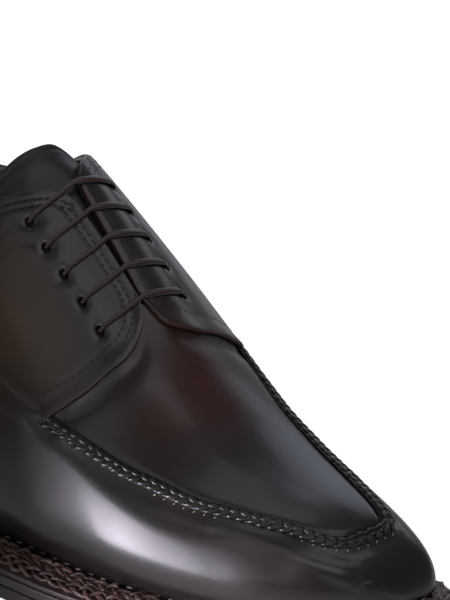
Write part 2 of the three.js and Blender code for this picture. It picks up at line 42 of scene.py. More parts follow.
# Sizes of the last in millimetres, with x from the back of the heel
shoe = {
    "length": 296.0, "ballWidth": 81.0, "instep": 96.0, "heel": 21.0, "toeSpring": 8.0,
    "footLine": 13.0, "wall": 1.8, "quarterRise": 1.2, "heelLean": 30.0, "originShare": 0.115,
    "waistStart": 0.203, "flatStart": 0.558, "flatEnd": 0.66,
    "outsole": 5.0, "midsole": 3.6, "welt": 1.7, "weltBand": 2.8, "insole": 3.0, "gap": 0.3,
    "topPiece": 6.0, "heelBlock": 74.0,
}
length = shoe["length"]
ball = shoe["ballWidth"]
insoleLow = shoe["outsole"] + shoe["midsole"] + 2 * shoe["gap"]  # underside of insole and welt over the ground line

# x, foot widths, bulges, bulge height, shoulder width and height, crest, spine
lastRows = np.array([
    [0.000, 0.358, 0.358, 0.049, 0.049, 0.300, 0.700, 0.800, 1.042, 0.000],
    [0.090, 0.395, 0.383, 0.049, 0.049, 0.300, 0.680, 0.800, 1.042, 0.000],
    [0.200, 0.407, 0.370, 0.049, 0.062, 0.300, 0.660, 0.800, 1.031, 0.012],
    [0.310, 0.420, 0.333, 0.074, 0.111, 0.320, 0.650, 0.800, 1.048, 0.031],
    [0.423, 0.473, 0.343, 0.084, 0.159, 0.340, 0.613, 0.799, 1.111, 0.052],
    [0.528, 0.543, 0.418, 0.081, 0.147, 0.367, 0.617, 0.792, 1.006, 0.038],
    [0.623, 0.519, 0.484, 0.072, 0.097, 0.353, 0.619, 0.785, 0.765, 0.034],
    [0.706, 0.474, 0.512, 0.077, 0.054, 0.377, 0.640, 0.801, 0.545, 0.020],
    [0.790, 0.421, 0.461, 0.090, 0.030, 0.404, 0.694, 0.847, 0.395, 0.026],
    [0.874, 0.359, 0.388, 0.072, 0.020, 0.400, 0.698, 0.881, 0.325, 0.038],
    [0.948, 0.298, 0.342, 0.069, 0.023, 0.412, 0.685, 0.884, 0.309, 0.073],
    [1.000, 0.258, 0.260, 0.057, 0.032, 0.428, 0.786, 0.927, 0.256, 0.184],
])
toeCap = {"length": 0.1825, "widthPower": 2.498, "widthRoot": 2.545, "heightPower": 2.682, "heightRoot": 1.875}
heelCap = {"length": 0.13, "power": 2.1}
# x, lateral and medial share of the side seam and the apron seam
seamRows = np.array([
    [0.000, 0.130, 0.870], [0.200, 0.114, 0.883], [0.310, 0.127, 0.867], [0.422, 0.157, 0.836],
    [0.507, 0.185, 0.807], [0.580, 0.210, 0.787], [0.640, 0.217, 0.770], [0.664, 0.230, 0.760],
    [0.702, 0.250, 0.748], [0.736, 0.267, 0.730], [0.778, 0.290, 0.720], [0.811, 0.300, 0.710],
    [0.856, 0.320, 0.699], [0.886, 0.330, 0.691], [0.913, 0.340, 0.682], [0.938, 0.352, 0.664],
    [1.000, 0.370, 0.640],
])
apronFrontRows = np.array([
    [0.948, 0.371], [0.953, 0.410], [0.954, 0.460], [0.954, 0.510], [0.953, 0.600], [0.948, 0.643],
])
# x, lateral and medial share of the topline and the facings
edgeRows = np.array([
    [0.000, 0.222, 0.778], [0.051, 0.216, 0.782], [0.101, 0.202, 0.793], [0.169, 0.188, 0.812],
    [0.236, 0.184, 0.820], [0.304, 0.203, 0.804], [0.372, 0.238, 0.763], [0.439, 0.297, 0.692],
    [0.476, 0.338, 0.645], [0.490, 0.358, 0.614], [0.502, 0.383, 0.582], [0.513, 0.411, 0.552],
    [0.521, 0.440, 0.530], [0.528, 0.462, 0.522], [0.535, 0.480, 0.518], [0.545, 0.485, 0.515],
    [0.580, 0.491, 0.509], [0.635, 0.497, 0.503], [1.000, 0.497, 0.503],
])
# spread from the crest, lateral and medial place of the quarters' front edge
frontRows = np.array([
    [0.003, 0.635, 0.637], [0.015, 0.641, 0.648], [0.028, 0.650, 0.657], [0.055, 0.658, 0.663],
    [0.085, 0.664, 0.666], [0.120, 0.667, 0.667], [0.155, 0.664, 0.663], [0.195, 0.660, 0.657],
    [0.240, 0.650, 0.651], [0.285, 0.639, 0.645],
])
# x, lateral and medial reach of the sole beyond the foot line
soleRows = np.array([
    [0.00, 0.037, 0.037], [0.10, 0.037, 0.037], [0.25, 0.045, 0.037], [0.42, 0.086, 0.037],
    [0.55, 0.140, 0.062], [0.63, 0.154, 0.080], [0.72, 0.142, 0.084], [0.82, 0.122, 0.074],
    [0.92, 0.098, 0.062], [1.00, 0.072, 0.072],
])
# x, lateral and medial edge of the tongue
tongueRows = np.array([
    [0.46, 0.300, 0.612], [0.50, 0.298, 0.629], [0.56, 0.305, 0.654], [0.64, 0.325, 0.659],
    [0.71, 0.344, 0.644],
])


# The stretch of a table that holds x
def stretchOf(xs, x):
    x = np.clip(x, xs[0], xs[-1])
    return x, np.clip(np.searchsorted(xs, x, side="right") - 1, 0, len(xs) - 2)


def naturalCurve(xs, ys):
    count = len(xs)
    step = np.diff(xs)
    grid = np.eye(count)
    jump = np.zeros(count)
    for i in range(1, count - 1):
        grid[i, i - 1:i + 2] = step[i - 1], 2 * (step[i - 1] + step[i]), step[i]
        jump[i] = 6 * ((ys[i + 1] - ys[i]) / step[i] - (ys[i] - ys[i - 1]) / step[i - 1])
    bend = np.linalg.solve(grid, jump)

    def value(x):
        x, i = stretchOf(xs, x)
        a = (xs[i + 1] - x) / step[i]
        b = 1 - a
        return a * ys[i] + b * ys[i + 1] + ((a**3 - a) * bend[i] + (b**3 - b) * bend[i + 1]) * step[i] ** 2 / 6
    return value


def steadyCurve(xs, ys):
    step = np.diff(xs)
    rate = np.diff(ys) / step
    slopes = np.zeros(len(xs))
    for i in range(1, len(xs) - 1):
        if rate[i - 1] * rate[i] > 0:
            slopes[i] = 2 * rate[i - 1] * rate[i] / (rate[i - 1] + rate[i])

    def value(x):
        x, i = stretchOf(xs, x)
        t = (x - xs[i]) / step[i]
        rise = t * t * (3 - 2 * t)
        return ys[i] * (1 - rise) + ys[i + 1] * rise + step[i] * (
            slopes[i] * t * (1 - t) ** 2 - slopes[i + 1] * t * t * (1 - t))
    return value


lastCurves = [naturalCurve(lastRows[:, 0], lastRows[:, k]) for k in range(1, 10)]
sides = {"lateral": -1, "medial": 1}
seamCurves, edgeCurves, frontCurves, soleCurves, tongueCurves = [
    {side: steadyCurve(rows[:, 0], rows[:, k + 1]) for k, side in enumerate(sides)}
    for rows in (seamRows, edgeRows, frontRows, soleRows, tongueRows)]


def smooth(t):
    t = np.clip(t, 0, 1)
    return t * t * (3 - 2 * t)


def hump(d, width):
    return np.exp(-(d / width) ** 2)


def mix(a, b, t):
    return a + (b - a) * t


def unit(vectors):
    return vectors / np.maximum(np.linalg.norm(vectors, axis=-1, keepdims=True), 1e-9)


def runAlong(points):
    return np.concatenate([[0], np.cumsum(np.linalg.norm(np.diff(points, axis=0), axis=1))])


# Points at the given runs along a line
def pointsAt(at, run, points):
    return np.stack([np.interp(at, run, points[:, k]) for k in range(points.shape[1])], -1)


# Distance of each grid point from the start and to the end, along one direction of the grid
def endDistances(points, axis):
    step = np.linalg.norm(np.diff(points, axis=axis), axis=-1)
    zero = np.zeros_like(points[:1, :, 0] if axis == 0 else points[:, :1, 0])
    backward = np.flip(np.cumsum(np.flip(step, axis), axis=axis), axis)
    return np.concatenate([zero, np.cumsum(step, axis=axis)], axis), np.concatenate([backward, zero], axis)


def treeOf(points):
    tree = KDTree(len(points))
    for index, point in enumerate(points):
        tree.insert(point, index)
    tree.balance()
    return tree


def soleUnder(x):
    drop = smooth((x / length - shoe["waistStart"]) / (shoe["flatStart"] - shoe["waistStart"]))
    spring = np.maximum(0, (x / length - shoe["flatEnd"]) / (1 - shoe["flatEnd"]))
    return shoe["heel"] * (1 - drop) + shoe["toeSpring"] * spring**2


# The outer facing lies flat under the laces: place and reaches in shares, push in mm
facingHollow = {"x": 0.581, "share": 0.443, "reachX": 0.095, "reachV": 0.055, "push": (-1.325, 0.480, -1.690)}


# Surface of the last: x in mm from the back of the heel, v from 0 (outer foot line) to 1 (inner foot line)
def lastPoint(x, v):
    x, v = np.broadcast_arrays(np.asarray(x, float), np.asarray(v, float))
    share = x / length
    footLat, footMed, bulgeLat, bulgeMed, low, wide, top, crest, spine = [c(share) for c in lastCurves]
    toe = np.clip((share - 1 + toeCap["length"]) / toeCap["length"], 0, 1)
    heel = np.clip((heelCap["length"] - share) / heelCap["length"], 0, 1)
    narrow = (1 - toe ** toeCap["widthPower"]) ** (1 / toeCap["widthRoot"])
    narrow = narrow * np.sqrt(np.maximum(1 - heel ** heelCap["power"], 0))
    height = crest * shoe["instep"] * (1 - toe ** toeCap["heightPower"]) ** (1 / toeCap["heightRoot"])
    base = soleUnder(x) + shoe["footLine"]
    ys, zs = [], []
    for side, foot, bulge in ((-1, footLat, bulgeLat), (1, footMed, bulgeMed)):
        f = foot * ball * narrow
        b = bulge * ball * narrow
        half = [
            (f, 0 * f), (f + 0.8 * b, 0.35 * low), (f + 1.05 * b, low),
            ((f + b) * (1 - 0.35 * (1 - wide)), low + 0.55 * (top - low)), ((f + b) * wide, top),
            (0.38 * (f + b) * wide, 1 + 0 * f), (0 * f, 1 + 0 * f),
        ]
        points = [(spine * ball + side * y, base + z * height) for y, z in half]
        points = points if side < 0 else points[::-1][1:]
        ys += [p[0] for p in points]
        zs += [p[1] for p in points]
    ys, zs = np.stack(ys, -1), np.stack(zs, -1)
    spans = 10
    t = np.clip(v, 0, 1) * spans
    span = np.minimum(t.astype(int), spans - 1)
    flat = np.stack([ys, zs], -1)
    d = [np.take_along_axis(flat, (span + j)[..., None, None], -2)[..., 0, :] for j in range(4)]
    for r in range(1, 4):
        for j in range(3, r - 1, -1):
            first = np.clip(span + j - 3, 0, spans)
            last = np.clip(span + j + 1 - r, 0, spans)
            a = ((t - first) / (last - first))[..., None]
            d[j] = mix(d[j - 1], d[j], a)
    rise = (d[3][..., 1] - base) / shoe["instep"]
    fade = smooth(1 - x / (0.3 * length))
    lean = shoe["heelLean"] * (rise - 0.25) ** 2 * fade
    sink = np.exp(-((share - facingHollow["x"]) / facingHollow["reachX"]) ** 4)
    sink = sink * hump(v - facingHollow["share"], facingHollow["reachV"])
    flat = np.stack([x + lean - shoe["originShare"] * length, d[3][..., 0], d[3][..., 1]], -1)
    return flat + sink[..., None] * np.array(facingHollow["push"])


def lastNormal(x, v):
    x, v = np.broadcast_arrays(np.asarray(x, float), np.asarray(v, float))
    x0 = np.maximum(x - 0.3, 0)
    x1 = np.minimum(np.maximum(x, 0.02) + 0.3, length - 0.01)
    at = np.clip(x, 0.02, length - 0.2)
    along = lastPoint(x1, v) - lastPoint(x0, v)
    across = lastPoint(at, np.clip(v + 0.003, 0, 1)) - lastPoint(at, np.clip(v - 0.003, 0, 1))
    normal = np.cross(along, across)
    normal[..., 1] = np.where(x < 0.02, 0, normal[..., 1])
    normal = np.where((x > length - 0.01)[..., None], [1.0, 0, 0], normal)
    return unit(normal)


def raised(x, v, offset):
    return lastPoint(x, v) + lastNormal(x, v) * np.asarray(offset)[..., None]


# Arc length over the section from the crest, negative on the lateral side, and its inverse
shareSamples = np.linspace(0, 1, 301)


def arcTable(x):
    arc = runAlong(lastPoint(np.full(len(shareSamples), x), shareSamples))
    return arc - arc[len(arc) // 2]


def arcOf(xs, vs):
    return np.array([np.interp(v, shareSamples, arcTable(x)) for x, v in zip(xs, vs)])


def shareAt(xs, arcs):
    return np.array([np.interp(a, arcTable(x), shareSamples) for x, a in zip(xs, arcs)])


def resample(points, pitch):
    run = runAlong(points)
    return pointsAt(np.linspace(0, run[-1], max(2, int(round(run[-1] / pitch)) + 1)), run, points)


# A line on the last, given in x and share, as a smooth dense list
def lineOnLast(nodes, pitch=0.5):
    flat = np.stack([nodes[:, 0], arcOf(nodes[:, 0], nodes[:, 1])], -1)
    run = runAlong(flat)
    at = np.linspace(0, run[-1], int(run[-1] / pitch) + 1)
    return np.stack([naturalCurve(run, flat[:, k])(at) for k in range(2)], -1)


def eased(points, width):
    pad = np.pad(points, ((width // 2, width // 2), (0, 0)), mode="edge")
    return np.stack([np.convolve(column, np.ones(width) / width, "valid") for column in pad.T], -1)


# A line beside another one, on its left when distance is positive
def shifted(flat, distance, ease=9):
    soft = eased(flat, ease)
    soft[0], soft[-1] = flat[0], flat[-1]
    along = unit(np.gradient(soft, axis=0))
    return soft + distance * np.stack([-along[:, 1], along[:, 0]], -1)


def placed(flat, offset):
    v = shareAt(flat[:, 0], flat[:, 1])
    return raised(flat[:, 0], v, np.full(len(flat), offset)), lastNormal(flat[:, 0], v)


# Meshes
def makeObject(name, points, faces, materials, smoothAngle=38, fields=None, faceMaterials=None):
    mesh = bpy.data.meshes.new(name)
    mesh.from_pydata((np.asarray(points) * 0.001).tolist(), [], [list(map(int, f)) for f in faces])
    for key, values in (fields or {}).items():
        values = np.asarray(values, np.float32)
        kind = "FLOAT_COLOR" if values.ndim == 2 and values.shape[1] == 4 else "FLOAT"
        layer = mesh.attributes.new(key, kind, "POINT")
        layer.data.foreach_set("color" if kind == "FLOAT_COLOR" else "value", values.ravel())
    for material in materials:
        mesh.materials.append(material)
    if faceMaterials is not None:
        mesh.polygons.foreach_set("material_index", np.asarray(faceMaterials, np.int32))
    work = bmesh.new()
    work.from_mesh(mesh)
    bmesh.ops.remove_doubles(work, verts=work.verts, dist=2e-6)
    bmesh.ops.dissolve_degenerate(work, edges=work.edges, dist=1e-6)
    work.to_mesh(mesh)
    work.free()
    mesh.polygons.foreach_set("use_smooth", np.ones(len(mesh.polygons), bool))
    mesh.set_sharp_from_angle(angle=math.radians(smoothAngle))
    thing = bpy.data.objects.new(name, mesh)
    bpy.context.scene.collection.objects.link(thing)
    return thing


# A sheet with thickness over a grid; cells without material are left open and every rim is closed
def thickSheet(name, outer, inner, keep, materials, fields=None, smoothAngle=38):
    n, m = outer.shape[:2]
    count = n * m
    ids = np.arange(count).reshape(n, m)
    cells = np.stack([ids[:-1, :-1], ids[1:, :-1], ids[1:, 1:], ids[:-1, 1:]], -1)[keep].reshape(-1, 4)
    joined = np.round(outer.reshape(-1, 3) * 1e3).astype(np.int64)
    _, same = np.unique(joined, axis=0, return_inverse=True)
    same = same.ravel()
    a = cells.ravel()
    b = np.roll(cells, -1, axis=1).ravel()
    total = same.max() + 1
    forward = same[a] * total + same[b]
    backward = same[b] * total + same[a]
    rim = ~np.isin(backward, forward) & (same[a] != same[b])
    a, b = a[rim], b[rim]
    rimFaces = np.stack([b, a, a + count, b + count], -1)
    faces = np.concatenate([cells, cells[:, ::-1] + count, rimFaces])
    kinds = np.concatenate([np.zeros(len(cells)), np.ones(len(cells)), np.full(len(rimFaces), 2)])
    used = np.unique(faces)
    spot = np.full(2 * count, -1)
    spot[used] = np.arange(len(used))
    points = np.concatenate([outer.reshape(-1, 3), inner.reshape(-1, 3)])[used]
    kept = {}
    for key, (front, back) in (fields or {}).items():
        tail = front.shape[2:]
        kept[key] = np.concatenate([front.reshape((-1,) + tail), back.reshape((-1,) + tail)])[used]
    kinds = np.minimum(kinds, len(materials) - 1)
    return makeObject(name, points, spot[faces], materials, smoothAngle, kept, kinds)


# Shader building: sockets that add, subtract and multiply, and one way to make any other node
class Signal:
    def __init__(self, graph, socket):
        self.graph = graph
        self.socket = socket

    def math(self, operation, *values):
        return self.graph.node("ShaderNodeMath", {"operation": operation}, dict(enumerate(values)))

    def __add__(self, other):
        return self.math("ADD", self, other)

    def __sub__(self, other):
        return self.math("SUBTRACT", self, other)

    def __rsub__(self, other):
        return self.math("SUBTRACT", other, self)

    def __mul__(self, other):
        return self.math("MULTIPLY", self, other)
    __radd__, __rmul__ = __add__, __mul__

    def clamped(self, low, high, outLow=0.0, outHigh=1.0):
        values = {0: self, 1: low, 2: high, 3: outLow, 4: outHigh}
        return self.graph.node("ShaderNodeMapRange", {"interpolation_type": "SMOOTHSTEP"}, values)

    def sine(self):
        return self.math("SINE", self)


class Graph:
    def __init__(self, name):
        self.material = bpy.data.materials.new(name)
        self.material.use_nodes = True
        self.tree = self.material.node_tree
        self.shader = next(n for n in self.tree.nodes if n.type == "BSDF_PRINCIPLED")

    def put(self, target, value):
        if isinstance(value, Signal):
            self.tree.links.new(value.socket, target)
        else:
            target.default_value = value

    def node(self, kind, settings=None, values=None, out=0):
        node = self.tree.nodes.new(kind)
        for key, value in (settings or {}).items():
            setattr(node, key, value)
        for key, value in (values or {}).items():
            self.put(node.inputs[key], value)
        return Signal(self, node.outputs[out])

    def attribute(self, name, out="Fac"):
        return self.node("ShaderNodeAttribute", {"attribute_name": name}, out=out)

    def place(self, stretch):
        spot = self.node("ShaderNodeTexCoord", out="Object")
        return self.node("ShaderNodeVectorMath", {"operation": "MULTIPLY"}, {0: spot, 1: stretch})

    def noise(self, scale, detail=3.0, rough=0.5, stretch=(1.0, 1.0, 1.0), warp=0.0):
        return self.node("ShaderNodeTexNoise", None, {
            "Vector": self.place(stretch), "Scale": scale, "Detail": detail, "Roughness": rough, "Distortion": warp})

    def blend(self, a, b, factor):
        settings = {"data_type": "RGBA", "blend_type": "MIX", "clamp_factor": True}
        return self.node("ShaderNodeMix", settings, {0: factor, 6: a, 7: b}, out=2)

    def bump(self, height, strength, distance, under=None):
        values = {"Height": height, "Strength": strength, "Distance": distance}
        if under is not None:
            values["Normal"] = under
        return self.node("ShaderNodeBump", None, values)

    def finish(self, **values):
        for key, value in values.items():
            self.put(self.shader.inputs[key.replace("_", " ")], value)
        return self.material


def leather(name, look):
    graph = Graph(name)
    tone = graph.attribute("tone", "Color")
    raw = graph.attribute("raw")
    cloud = graph.noise(look["cloudScale"], 4.0, 0.6)
    shade = graph.blend(tone, look["cloudTone"], cloud.clamped(0.42, 0.72) * look["cloudAmount"])
    shade = graph.blend(shade, look["rawTone"], raw)
    surface = None
    for scale, noiseLook, strength, depth in look["relief"]:
        surface = graph.bump(graph.noise(scale, *noiseLook), strength, depth, surface)
    dull = graph.attribute("dull")
    worn = graph.noise(look["wornScale"], 3.0, 0.6).clamped(0.35, 0.75, -0.5, 0.5)
    rough = look["roughness"] + worn * look["roughnessSpread"] + raw * look["rawRough"] + dull * look["dullRough"]
    return graph.finish(
        Base_Color=shade, Roughness=rough, Normal=surface, Coat_Weight=(1.0 - dull) * look["coat"],
        Coat_Roughness=look["coatRoughness"], Specular_IOR_Level=look["specular"])


upperLook = {
    "cloudScale": 42.0, "cloudTone": (0.020, 0.012, 0.009, 1), "cloudAmount": 0.35,
    "rawTone": (0.078, 0.034, 0.030, 1), "roughness": 0.36, "wornScale": 38.0, "roughnessSpread": 0.10,
    "rawRough": 0.25, "dullRough": 0.06,
    "coat": 0.35, "coatRoughness": 0.16, "specular": 0.5,
    # folds, pores and grain: scale, the rest of the noise, bump strength and distance in m
    "relief": [
        (60.0, (3.0, 0.5, (0.7, 1.2, 1.2), 0.6), 0.10, 0.0012),
        (900.0, (3.0, 0.6, (1.0, 1.6, 1.3)), 0.10, 0.0004),
        (3200.0, (2.0, 0.55), 0.10, 0.00015)],
}
upperLeather = leather("upper_leather", upperLook)
tongueLeather = leather("tongue_leather", {**upperLook, "roughness": 0.45, "coat": 0.15, "coatRoughness": 0.3})


def plain(name, tone, secondTone, roughness, bump, cloudScale=60.0, grainScale=1500.0, stretch=(1.0, 1.0, 1.0),
          depth=0.0003, coat=0.0, darkTone=None):
    graph = Graph(name)
    cloud = graph.noise(cloudScale, 4.0, 0.6)
    shade = graph.blend((*tone, 1), (*secondTone, 1), cloud.clamped(0.3, 0.7))
    # A dark tone laid on by the dark field; on the lining it is painted shade
    if darkTone:
        shade = graph.blend(shade, (*darkTone, 1), graph.attribute("dark"))
    surface = graph.bump(graph.noise(grainScale, 3.0, 0.6, stretch), bump, depth)
    return graph.finish(Base_Color=shade, Roughness=roughness + (cloud - 0.5) * 0.2, Normal=surface,
                        Coat_Weight=coat, Coat_Roughness=0.25)


plainLooks = {
    # tone, second tone, roughness, bump and what else differs
    # The lining's dark tone is painted shade, laid on by the vamp's dark field from 0.40 of the length forward
    "lining_leather": ((0.34, 0.20, 0.11), (0.26, 0.145, 0.075), 0.62, 0.15, {"darkTone": (0.020, 0.012, 0.011)}),
    "insole_leather": ((0.30, 0.17, 0.09), (0.22, 0.12, 0.06), 0.55, 0.12, {}),
    "sole_edge": ((0.034, 0.023, 0.024), (0.022, 0.015, 0.016), 0.46, 0.25,
                  {"grainScale": 420.0, "stretch": (0.35, 0.35, 3.0), "depth": 0.0002, "coat": 0.25}),
    "welt_leather": ((0.036, 0.018, 0.015), (0.020, 0.010, 0.009), 0.50, 0.2, {"coat": 0.1}),
    "braid_leather": ((0.095, 0.048, 0.038), (0.022, 0.010, 0.008), 0.42, 0.3, {"cloudScale": 160.0, "coat": 0.1}),
    "sole_bottom": ((0.15, 0.085, 0.050), (0.12, 0.066, 0.040), 0.55, 0.3, {"grainScale": 900.0}),
    "heel_rubber": ((0.012, 0.011, 0.011), (0.016, 0.015, 0.015), 0.7, 0.4, {}),
    "dark_thread": ((0.010, 0.008, 0.008), (0.018, 0.014, 0.014), 0.42, 0.1, {}),
    # Painted shade: near-black matte finish of the cord that stands for the shadow in the apron seam's groove
    "painted_shade_cord": ((0.004, 0.003, 0.003), (0.006, 0.004, 0.004), 0.9, 0.1, {}),
    "waxed_thread": ((0.20, 0.16, 0.15), (0.07, 0.05, 0.05), 0.5, 0.1, {"cloudScale": 120.0}),
    "pale_thread": ((0.55, 0.50, 0.47), (0.40, 0.36, 0.33), 0.5, 0.1, {}),
}
(liningLeather, insoleLeather, soleEdge, weltLeather, braidLeather, soleBottom, heelRubber, darkThread, paintedShadeCord,
 waxedThread, paleThread) = [plain(name, *look, **more) for name, (*look, more) in plainLooks.items()]
# Tones and weave of the lace, then half widths, heights and the place where it bends, in mm and shares
laceLook = {
    "tones": ((0.020, 0.011, 0.011, 1), (0.064, 0.031, 0.030, 1)), "weaveRun": 3.4, "weaveTurn": 2.0,
    "nearWide": 0.78, "nearHigh": 0.52, "farWide": 1.15, "farHigh": 0.52, "lift": 0.06, "kink": 0.53,
    "step": 0.1, "samples": 120, "corners": 14,
}


def laceFinish():
    graph = Graph("lace_cotton")
    run, turn, look = graph.attribute("run"), graph.attribute("turn"), laceLook
    weave = ((run * look["weaveRun"] + turn * look["weaveTurn"]).sine()
             * (run * look["weaveRun"] - turn * look["weaveTurn"]).sine())
    shade = graph.blend(*look["tones"], weave.clamped(-0.6, 0.9))
    surface = graph.bump(weave, 0.30, 0.0002)
    return graph.finish(Base_Color=shade, Roughness=0.42, Normal=surface, Coat_Weight=0.3, Coat_Roughness=0.25)


laceCotton = laceFinish()
print("materials made")

# Colour of the leather by place: dark ground with listed brown and reddish burnish
toneGround = np.array([0.0105, 0.0084, 0.0082])
tonePatches = [
    # x, share, reach along, reach in share, extra red, green, blue
    (166, 0.275, 18, 0.060, 0.0340, 0.0150, 0.0000),
    (150, 0.240, 26, 0.060, 0.0060, 0.0030, 0.0005),
    (216, 0.520, 15, 0.100, 0.0260, -0.0045, -0.0050),
    (203, 0.570, 14, 0.080, 0.0180, -0.0010, -0.0040),
    (214, 0.400, 12, 0.080, 0.0110, -0.0010, -0.0040),
    (172, 0.150, 16, 0.050, 0.0060, 0.0030, 0.0005),
    (285, 0.120, 16, 0.090, 0.0050, 0.0020, 0.0010),
    (60, 0.200, 40, 0.080, 0.0110, 0.0060, 0.0015),
    (70, 0.800, 46, 0.080, 0.0110, 0.0060, 0.0015),
    (180, 0.790, 40, 0.070, 0.0120, 0.0060, 0.0015),
]


# Places where the polish is duller
dullPatches = [(211, 0.540, 19, 0.110, 1.0), (182, 0.120, 15, 0.070, 1.0)]


def dullAt(x, v):
    dull = sum(amount * np.exp(-((x - x0) / reachX) ** 4 - ((v - v0) / reachV) ** 4)
               for x0, v0, reachX, reachV, amount in dullPatches)
    return np.clip(dull, 0, 1)


def toneAt(x, v):
    tone = np.broadcast_to(toneGround, x.shape + (3,)).copy()
    for x0, v0, reachX, reachV, *extra in tonePatches:
        amount = np.exp(-((x - x0) / reachX) ** 2 - ((v - v0) / reachV) ** 2)
        tone += amount[..., None] * np.array(extra)
    tone = np.maximum(tone, 0.003)
    return np.concatenate([tone, np.ones(x.shape + (1,))], -1)


# Grid over the upper: columns bend with the quarters' front edge, rows follow the seam and the topline
rearEnd, foreEnd, cornerShare = 0.473, 0.76, 0.640
upperMesh = {
    "heelColumns": 16, "sideColumns": 46, "quarterColumns": 60, "foreColumns": 30, "toeColumns": 90,
    "lowRows": 24, "highRows": 54, "holeRadius": 1.45, "setBack": 0.008,
}
eyeletSizes = {"first": 0.528, "pitch": 7.93, "spread": 0.127, "skew": 1.5}


def columnList(size, closeEnd):
    steps = lambda count: np.arange(count) / count
    kinds, values = [], []

    def add(kind, many):
        kinds.extend([kind] * len(many))
        values.extend(many)
    add(0, 0.13 * steps(size["heelColumns"]) ** 2)
    add(0, mix(0.13, rearEnd, steps(size["sideColumns"])))
    if closeEnd is not None:
        add(1, mix(0, 1 - closeEnd[-1] - 0.012, steps(size["quarterColumns"])))
        add(1, (1 - np.array(closeEnd))[::-1])
    else:
        add(1, steps(size["quarterColumns"]))
        add(1, [1.0])
        add(2, steps(size["foreColumns"]))
        add(0, 1 - (1 - foreEnd) * (1 - steps(size["toeColumns"])) ** 2.1)
        add(0, [1.0])
    return np.array(kinds), np.array(values)


def gridSide(kinds, values, rows, side, setBack=0.0):
    up = np.maximum(rows - 1, 0)
    spread = np.abs(mix(seamCurves[side](cornerShare), edgeCurves[side](cornerShare), up) - 0.5)
    front = frontCurves[side](spread)[None]
    value = values[:, None]
    kind = kinds[:, None]
    ahead = np.where(kind == 2, mix(front + 0.0017, foreEnd, value), value)
    x = np.broadcast_to(np.where(kind == 1, mix(rearEnd, front, value), ahead), (len(kinds), len(rows)))
    quarter = (kind == 1) | ((kind == 0) & (value < rearEnd))
    up = np.where(quarter, up[None] * (1 - setBack), up[None])
    seam = seamCurves[side](x)
    foot = 0.0 if side == "lateral" else 1.0
    below = mix(foot, seam, np.clip(rows, 0, 1)[None])
    v = np.where(rows[None] <= 1, below, mix(seam, edgeCurves[side](x), up))
    return x * length, v, np.broadcast_to(quarter, x.shape)


def eyeletPlaces(side):
    size, turn = eyeletSizes, sides[side]
    skew = 0 if side == "lateral" else size["skew"]
    return [(size["first"] * length + k * size["pitch"] - skew, 0.5 + turn * size["spread"]) for k in range(5)]


# Opens a round hole in the grid at each eyelet, and says which cells are kept and how far the hole's edge drops
def openEyelets(x, v, side, radius):
    x, v = x.copy(), v.copy()
    n, m = x.shape
    keep = np.ones((n - 1, m - 1), bool)
    drop = np.zeros((n, m))
    for ex, ev in eyeletPlaces(side):
        ends = lastPoint(np.array([ex, ex]), np.array([ev - 0.01, ev + 0.01]))
        scale = np.linalg.norm(ends[1] - ends[0]) / 0.02
        away = (x - ex) ** 2 + ((v - ev) * scale) ** 2
        i0, j0 = np.unravel_index(np.argmin(away), away.shape)
        turn = 1.0 if v[i0, j0 + 1] > v[i0, j0 - 1] else -1.0
        rings = {2: (radius, 1.0, 0.30), 3: (radius + 0.5, 1.0, 0.06), 4: (radius + 1.3, 0.6, 0.0)}
        for a, b in ((a, b) for a in range(-4, 5) for b in range(-4, 5) if max(abs(a), abs(b)) > 1):
            reach, weight, low = rings[max(abs(a), abs(b))]
            angle = math.atan2(b, a)
            at = i0 + a, j0 + b
            x[at] = mix(x[at], ex + reach * math.cos(angle), weight)
            v[at] = mix(v[at], ev + turn * reach * math.sin(angle) / scale, weight)
            drop[at] = low
        keep[i0 - 2:i0 + 2, j0 - 2:j0 + 2] = False
    return x, v, keep, drop


# Apron seam path, and the signed distance to it, positive inside the apron
seamFore = seamRows[(seamRows[:, 0] > 0.635) & (seamRows[:, 0] < 0.95)]
apronNodes = np.concatenate([seamFore[:, [0, 1]], apronFrontRows, seamFore[::-1][:, [0, 2]]])
apronLine = lineOnLast(apronNodes * [length, 1])
apronPoints, apronNormals = placed(apronLine, 0.0)
apronInward = np.cross(apronNormals, unit(np.gradient(apronPoints, axis=0)))
apronTree = treeOf(apronPoints)


def apronDistance(points, wanted):
    distance = np.full(points.shape[:2], 99.0)
    for i, j in np.argwhere(wanted):
        _, index, away = apronTree.find(points[i, j])
        inside = np.dot(points[i, j] - apronPoints[index], apronInward[index]) > 0
        distance[i, j] = away if inside else -away
    return distance


def rimDrop(d, radius):
    near = np.clip(1 - d / radius, 0, 1)
    return radius * (1 - np.sqrt(1 - near**2))


acrossPerShare = 150  # mm over the section for one whole share, about
# Swellings: x, share, reach along, reach across in mm, height
vampSwells = [
    (190, 0.055, 13, 9.0, 1.30),
    (232, 0.205, 30, 5.0, 0.35),
    (262, 0.190, 24, 6.0, -0.25),
    (215, 0.520, 5, 20.0, 0.15),
]
# Creases along a line of places in x and share, with width outside and inside the line and height
vampCreases = [
    ([(234, 0.234), (242, 0.242), (249, 0.248), (257, 0.260), (266, 0.263)], 1.6, 1.6, -0.30),
    ([(254, 0.262), (262, 0.269), (269, 0.271), (277, 0.263), (284, 0.245), (289, 0.227)], 1.8, 5.0, 0.70),
]


def lineDistance(points, line):
    tree = treeOf(line)
    return np.array([tree.find(p)[2] for p in points.reshape(-1, 3)]).reshape(points.shape[:2])


def swellRelief(x, v, swells):
    return sum(high * hump(x - x0, reachX) * hump((v - v0) * acrossPerShare, reachY)
               for x0, v0, reachX, reachY, high in swells)


